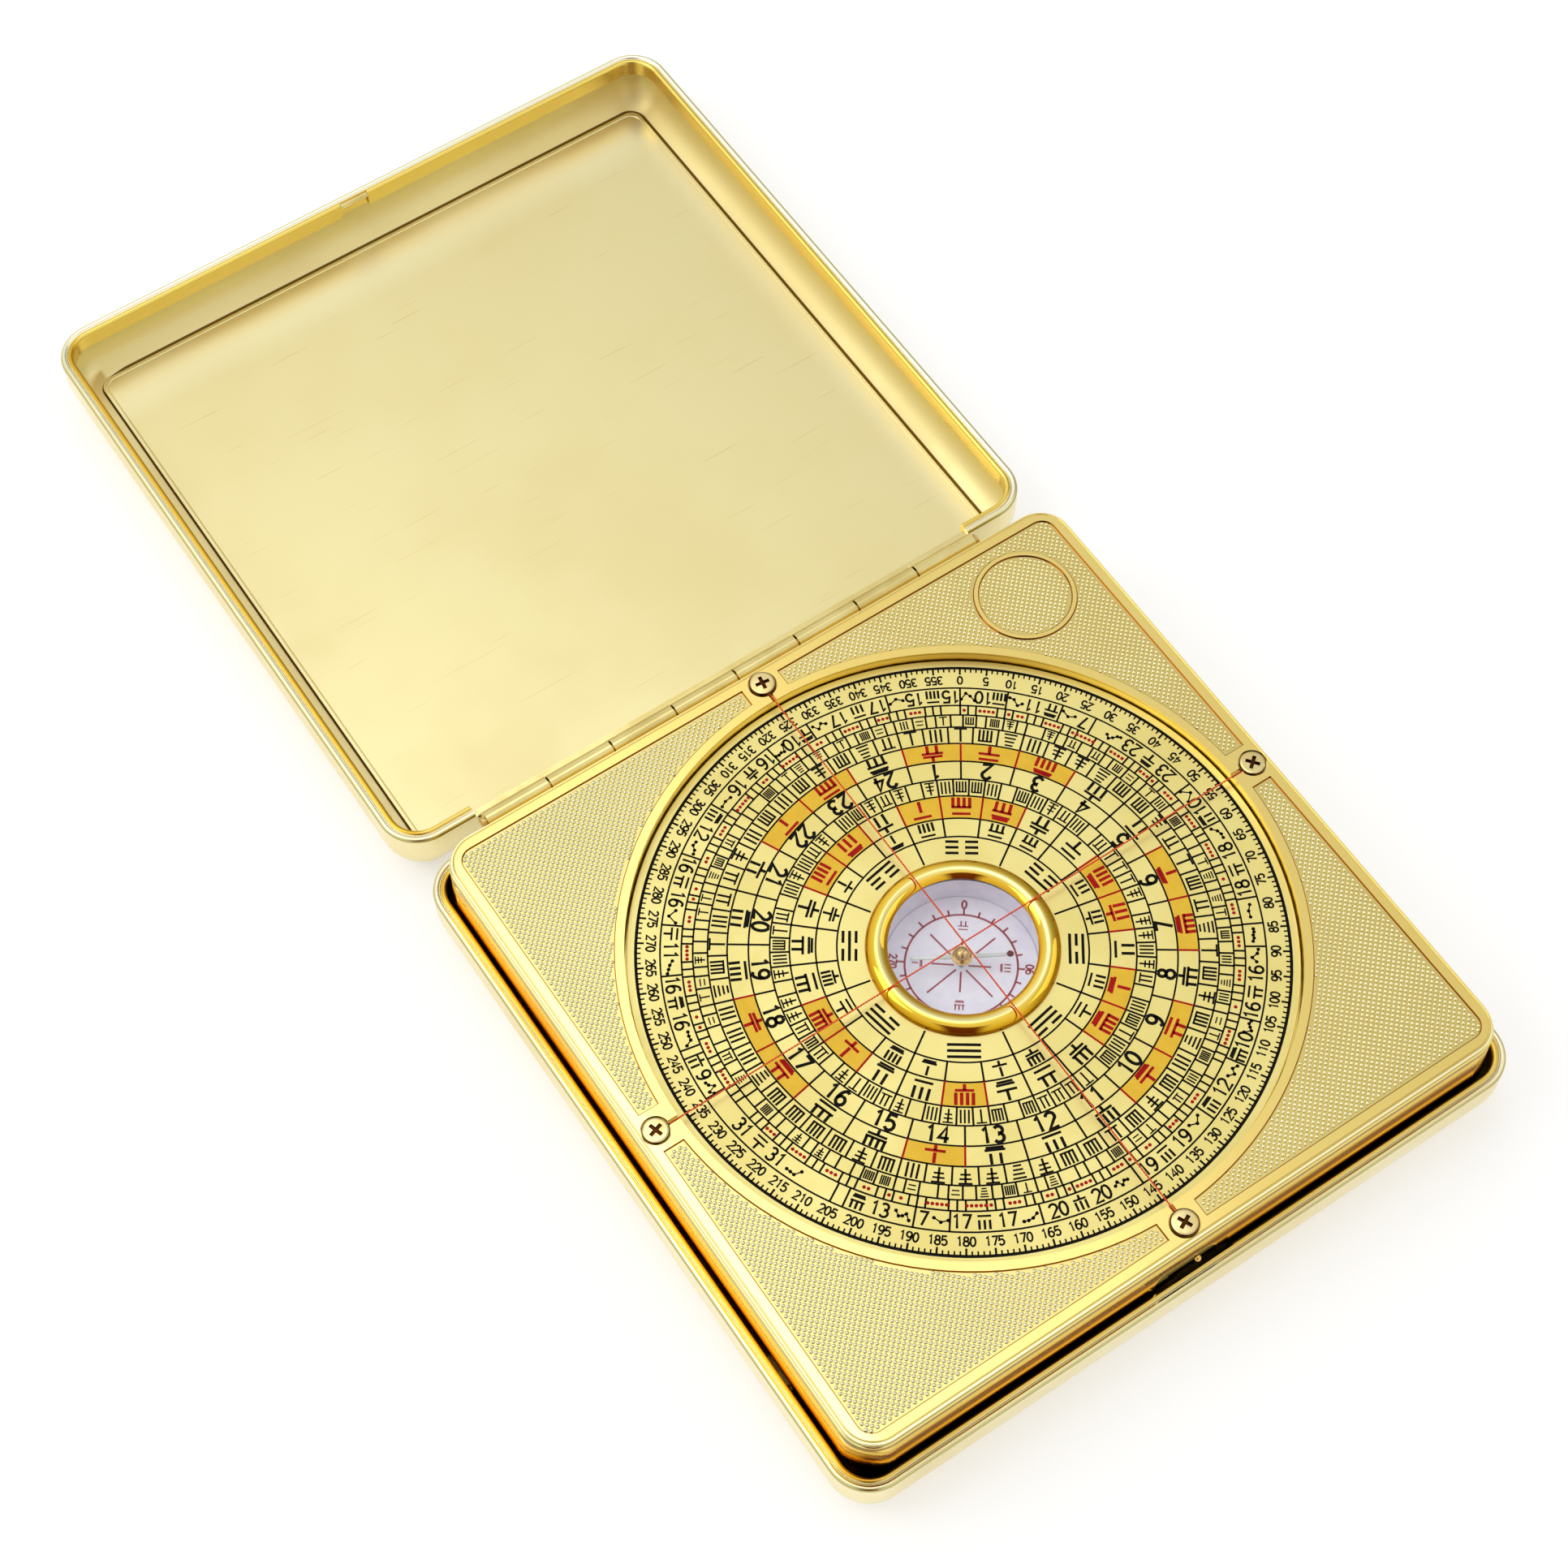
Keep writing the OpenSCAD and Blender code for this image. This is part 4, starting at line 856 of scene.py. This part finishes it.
# Three rings of twenty-four numbered cells; the filled cells carry red numbers
FILLED = {23, 0, 1, 4, 5, 7, 8, 12, 15, 16, 20, 21}
for outer, offset, size, filled in ((4, 0.0, (2.7, 2.3), True), (5, -15.0, (2.0, 2.0), False),
                                    (7, -7.5, (2.5, 2.7), True)):
    for cell in range(24):
        start = 15 * cell + offset
        is_filled = filled and cell in FILLED
        beside_filled = filled and (cell - 1) % 24 in FILLED
        if is_filled:
            add_band(deep_gold, RINGS[outer + 1], RINGS[outer], start, start + 15)
        border = red if is_filled or beside_filled else black
        add_spoke(border, RINGS[outer + 1], RINGS[outer], start, LINE)
        if filled:
            add_rods(red if is_filled else black, ROD_NUMBERS[(cell * 7 + outer) % 24],
                     ring_middle(outer), start + 7.5, size, 0.42 if is_filled else 0.38)
        else:
            add_number(black, str(cell + 1), ring_middle(outer), start + 7.5, 2.05, 0.42, spread=0.76)

# Seventy-two cells with small signs, one in six left bare
for cell in range(72):
    start = 5 * cell - 12.5
    add_spoke(black, RINGS[7], RINGS[6], start, LINE)
    if cell % 6 != 5:
        add_rods(black, order.choice((3, 6, 7, 8, 9)), ring_middle(6), start + 2.5, (1.35, 1.75), 0.23)

# Twenty-four cells, every third one bare, then the eight trigrams round the bezel
for cell in range(24):
    start = 15 * cell - 7.5
    add_spoke(black, RINGS[9], RINGS[8], start, LINE)
    if cell % 3:
        add_rods(black, order.choice(ROD_NUMBERS), ring_middle(8), start + 7.5, (2.0, 2.1), 0.32)
TRIGRAMS = ((0, 0, 0), (0, 0, 1), (1, 0, 1), (0, 1, 1), (1, 1, 1), (1, 1, 0), (0, 1, 0), (1, 0, 0))
for index, pattern in enumerate(TRIGRAMS):
    add_spoke(black, TRIGRAM_INNER_R, RINGS[9], 45 * index + 22.5, LINE)
    add_lines_figure(black, pattern, TRIGRAM_R, 45 * index, (4.1, 1.6), 0.36)

# The inks lie on each other in the order of printing
for name, sheet, rise, ink in (("dial_filled_cells", deep_gold, 0.012, deep_gold_ink),
                               ("dial_black_print", black, 0.02, black_ink),
                               ("dial_red_print", red, 0.026, red_ink)):
    print_sheet(name, sheet, DIAL_ZERO, DIAL_TOP_Z + rise, ink, "dial")

# Crosshair threads: two-ply red-orange thread, drawn taut over the dial and clamped at both ends
# under the plate's screws. The one along the hinge lies lower.
thread_fibre, *_ = plain_finish("thread_red", tone(238, 92, 30), tone(216, 66, 18), 0.6, count=2.5,
                                bump=0.3)


def twist_thread(name, node, axis):
    """Two plies twisted round the line of the CAD thread that they stand for."""
    low, high = (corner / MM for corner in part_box(node))
    centre = (low + high) / 2
    half = (high[axis] - low[axis]) / 2
    ply_r, centre_r, twist, sides = 0.068, 0.056, 0.8, 6
    rings = int(2 * half / twist * 8)
    points, faces = [], []
    for ply in (0, 1):
        first = len(points)
        for ring in range(rings + 1):
            along = -half + 2 * half * ring / rings
            turn = math.tau * along / twist + math.pi * ply
            for side in range(sides):
                lean = math.tau * side / sides
                off = (centre_r * math.cos(turn) + ply_r * math.cos(lean),
                       centre_r * math.sin(turn) + ply_r * math.sin(lean))
                point = Vector(centre)
                point[axis] += along
                point[1 - axis] += off[0]
                point[2] += off[1]
                points.append(tuple(point))
        for ring in range(rings):
            for side in range(sides):
                a = first + ring * sides + side
                b = first + ring * sides + (side + 1) % sides
                faces.append((a, b, b + sides, a + sides))
        faces.append(tuple(first + side for side in reversed(range(sides))))
        faces.append(tuple(first + rings * sides + side for side in range(sides)))
    if axis == 1:
        faces = [face[::-1] for face in faces]
    piece = new_piece(name, points, faces, thread_fibre, "tray", smooth=True)
    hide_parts(node)


twist_thread("thread_along_hinge", "crosshair_thread_lower", 0)
twist_thread("thread_across", "crosshair_thread_upper", 1)

# Plate screws: four small cross-head screws with a warm nickel tint. The cross holds a dark residue
# of polish, and the slots' edges are rubbed bright.
screw_metal, tree, shader, colour = metal_finish(
    "screw_steel", tone(250, 230, 168), tone(224, 196, 122), 0.16, along=3.0, across=3.0, depth=0.1,
    haze=0.4, wear=0.08)
# The two screws of the lower thread, at the plate's left and right, sit a thread's thickness lower
HEAD_TOP_Z, THREAD_D = 17.27, 0.25
screw_place = place_xyz(tree)
at_sides = math_node(tree, "GREATER_THAN", math_node(tree, "ABSOLUTE", screw_place[0]), 20.0)
head_top = math_node(tree, "MULTIPLY_ADD", at_sides, -THREAD_D, HEAD_TOP_Z)
sunk = math_node(tree, "SUBTRACT", head_top, screw_place[2])
in_cross = overlap(tree, ramp(tree, sunk, 0.03, 0.1), ramp(tree, sunk, 0.36, 0.33))
tree.links.new(blend_colour(tree, in_cross, colour, tone(72, 38, 14)), shader.inputs["Base Color"])
dress(screw_metal, "plate_screws")

# Studio: a pale floor, a soft white room that is dim on its right, two large soft lamps and the
# camera at the photograph's angle.
FLOOR_HALF, FLOOR_Z = 1.6, -2e-5
floor_mesh = bpy.data.meshes.new("floor")
floor_mesh.from_pydata([(x * FLOOR_HALF, y * FLOOR_HALF, FLOOR_Z)
                        for x, y in ((-1, -1), (1, -1), (1, 1), (-1, 1))], [], [(0, 1, 2, 3)])
floor = bpy.data.objects.new("floor", floor_mesh)
bpy.context.scene.collection.objects.link(floor)
floor_paper = bpy.data.materials.new("floor_paper")
floor_paper.use_nodes = True
tree = floor_paper.node_tree
shader = tree.nodes["Principled BSDF"]
shader.inputs["Base Color"].default_value = (0.66, 0.66, 0.66, 1.0)
shader.inputs["Roughness"].default_value = 0.9
shader.inputs["Specular IOR Level"].default_value = 0.0
shader.inputs["Emission Color"].default_value = (1.0, 1.0, 1.0, 1.0)
seen = add_node(tree, "LightPath")
rays = math_node(tree, "MAXIMUM", seen.outputs["Is Camera Ray"], seen.outputs["Is Glossy Ray"])
rays = math_node(tree, "MAXIMUM", rays, seen.outputs["Is Transmission Ray"])
tree.links.new(math_node(tree, "MULTIPLY", rays, 0.45), shader.inputs["Emission Strength"])
floor_mesh.materials.append(floor_paper)

world = bpy.data.worlds.new("studio")
bpy.context.scene.world = world
world.use_nodes = True
tree = world.node_tree
background = tree.nodes["Background"]
direction = add_node(tree, "TexCoord")


def along_axis(axis):
    """Share of the looking direction that lies along an axis of the room."""
    dot = add_node(tree, "VectorMath", operation="DOT_PRODUCT")
    dot.inputs[1].default_value = axis
    tree.links.new(direction.outputs["Generated"], dot.inputs[0])
    return dot.outputs["Value"]


# The walls are bright all round and fall off to a dim one on the right
sideways = along_axis((0.830, -0.557, 0.0))
away = along_axis((0.557, 0.830, 0.0))
walls = add_node(tree, "ValToRGB")
WALL_LEVELS = ((0.0, 0.85), (0.5, 0.88), (0.6, 0.92), (0.66, 0.86), (0.72, 0.73), (0.78, 0.6),
               (0.88, 0.44), (1.0, 0.31))
for index, (place, level) in enumerate(WALL_LEVELS):
    element = walls.color_ramp.elements[index] if index < 2 else walls.color_ramp.elements.new(place)
    element.position = place
    element.color = (level, level, level, 1.0)
to_dim_side = along_axis((0.998, 0.052, 0.0))
tree.links.new(math_node(tree, "MULTIPLY_ADD", to_dim_side, 0.5, 0.5), walls.inputs["Fac"])
# A soft box overhead, and the dark stand in front that carries the camera
overhead = ramp(tree, along_axis(Vector((0.031, 0.316, 0.948)).normalized()), 0.948, 0.988)
room = blend_colour(tree, overhead, walls.outputs["Color"], (1.8, 1.8, 1.8, 1.0))
stand = overlap(tree, ramp(tree, away, -0.36, -0.52),
                ramp(tree, math_node(tree, "ABSOLUTE", sideways), 0.36, 0.16))
room = blend_colour(tree, stand, room, (0.16, 0.05, 0.035, 1.0))
seen = add_node(tree, "LightPath")
room = blend_colour(tree, seen.outputs["Is Camera Ray"], room, (1.0, 1.0, 1.0, 1.0))
tree.links.new(room, background.inputs["Color"])
background.inputs["Strength"].default_value = 1.0


def soft_lamp(name, place, size, power):
    """Square soft lamp that looks at the middle of the open case."""
    lamp = bpy.data.lights.new(name, "AREA")
    lamp.size = size
    lamp.energy = power
    holder = bpy.data.objects.new(name, lamp)
    holder.location = place
    holder.rotation_euler = (Vector((0, 0.05, 0)) - Vector(place)).to_track_quat("-Z", "Y").to_euler()
    bpy.context.scene.collection.objects.link(holder)


soft_lamp("key_lamp", (-0.55, 0.35, 0.75), 0.5, 1.6)
soft_lamp("fill_lamp", (0.7, -0.25, 0.6), 0.6, 0.8)

camera_data = bpy.data.cameras.new("photo_camera")
camera_data.lens = 72.08
camera_data.sensor_width = 36.0
camera_data.clip_start = 0.01
camera = bpy.data.objects.new("photo_camera", camera_data)
camera.location = (-0.111247, -0.131564, 0.358859)
camera.rotation_euler = [math.radians(angle) for angle in (29.467657, 0.467226, -33.870849)]
bpy.context.scene.collection.objects.link(camera)
bpy.context.scene.camera = camera
bpy.context.scene.view_settings.view_transform = "Standard"
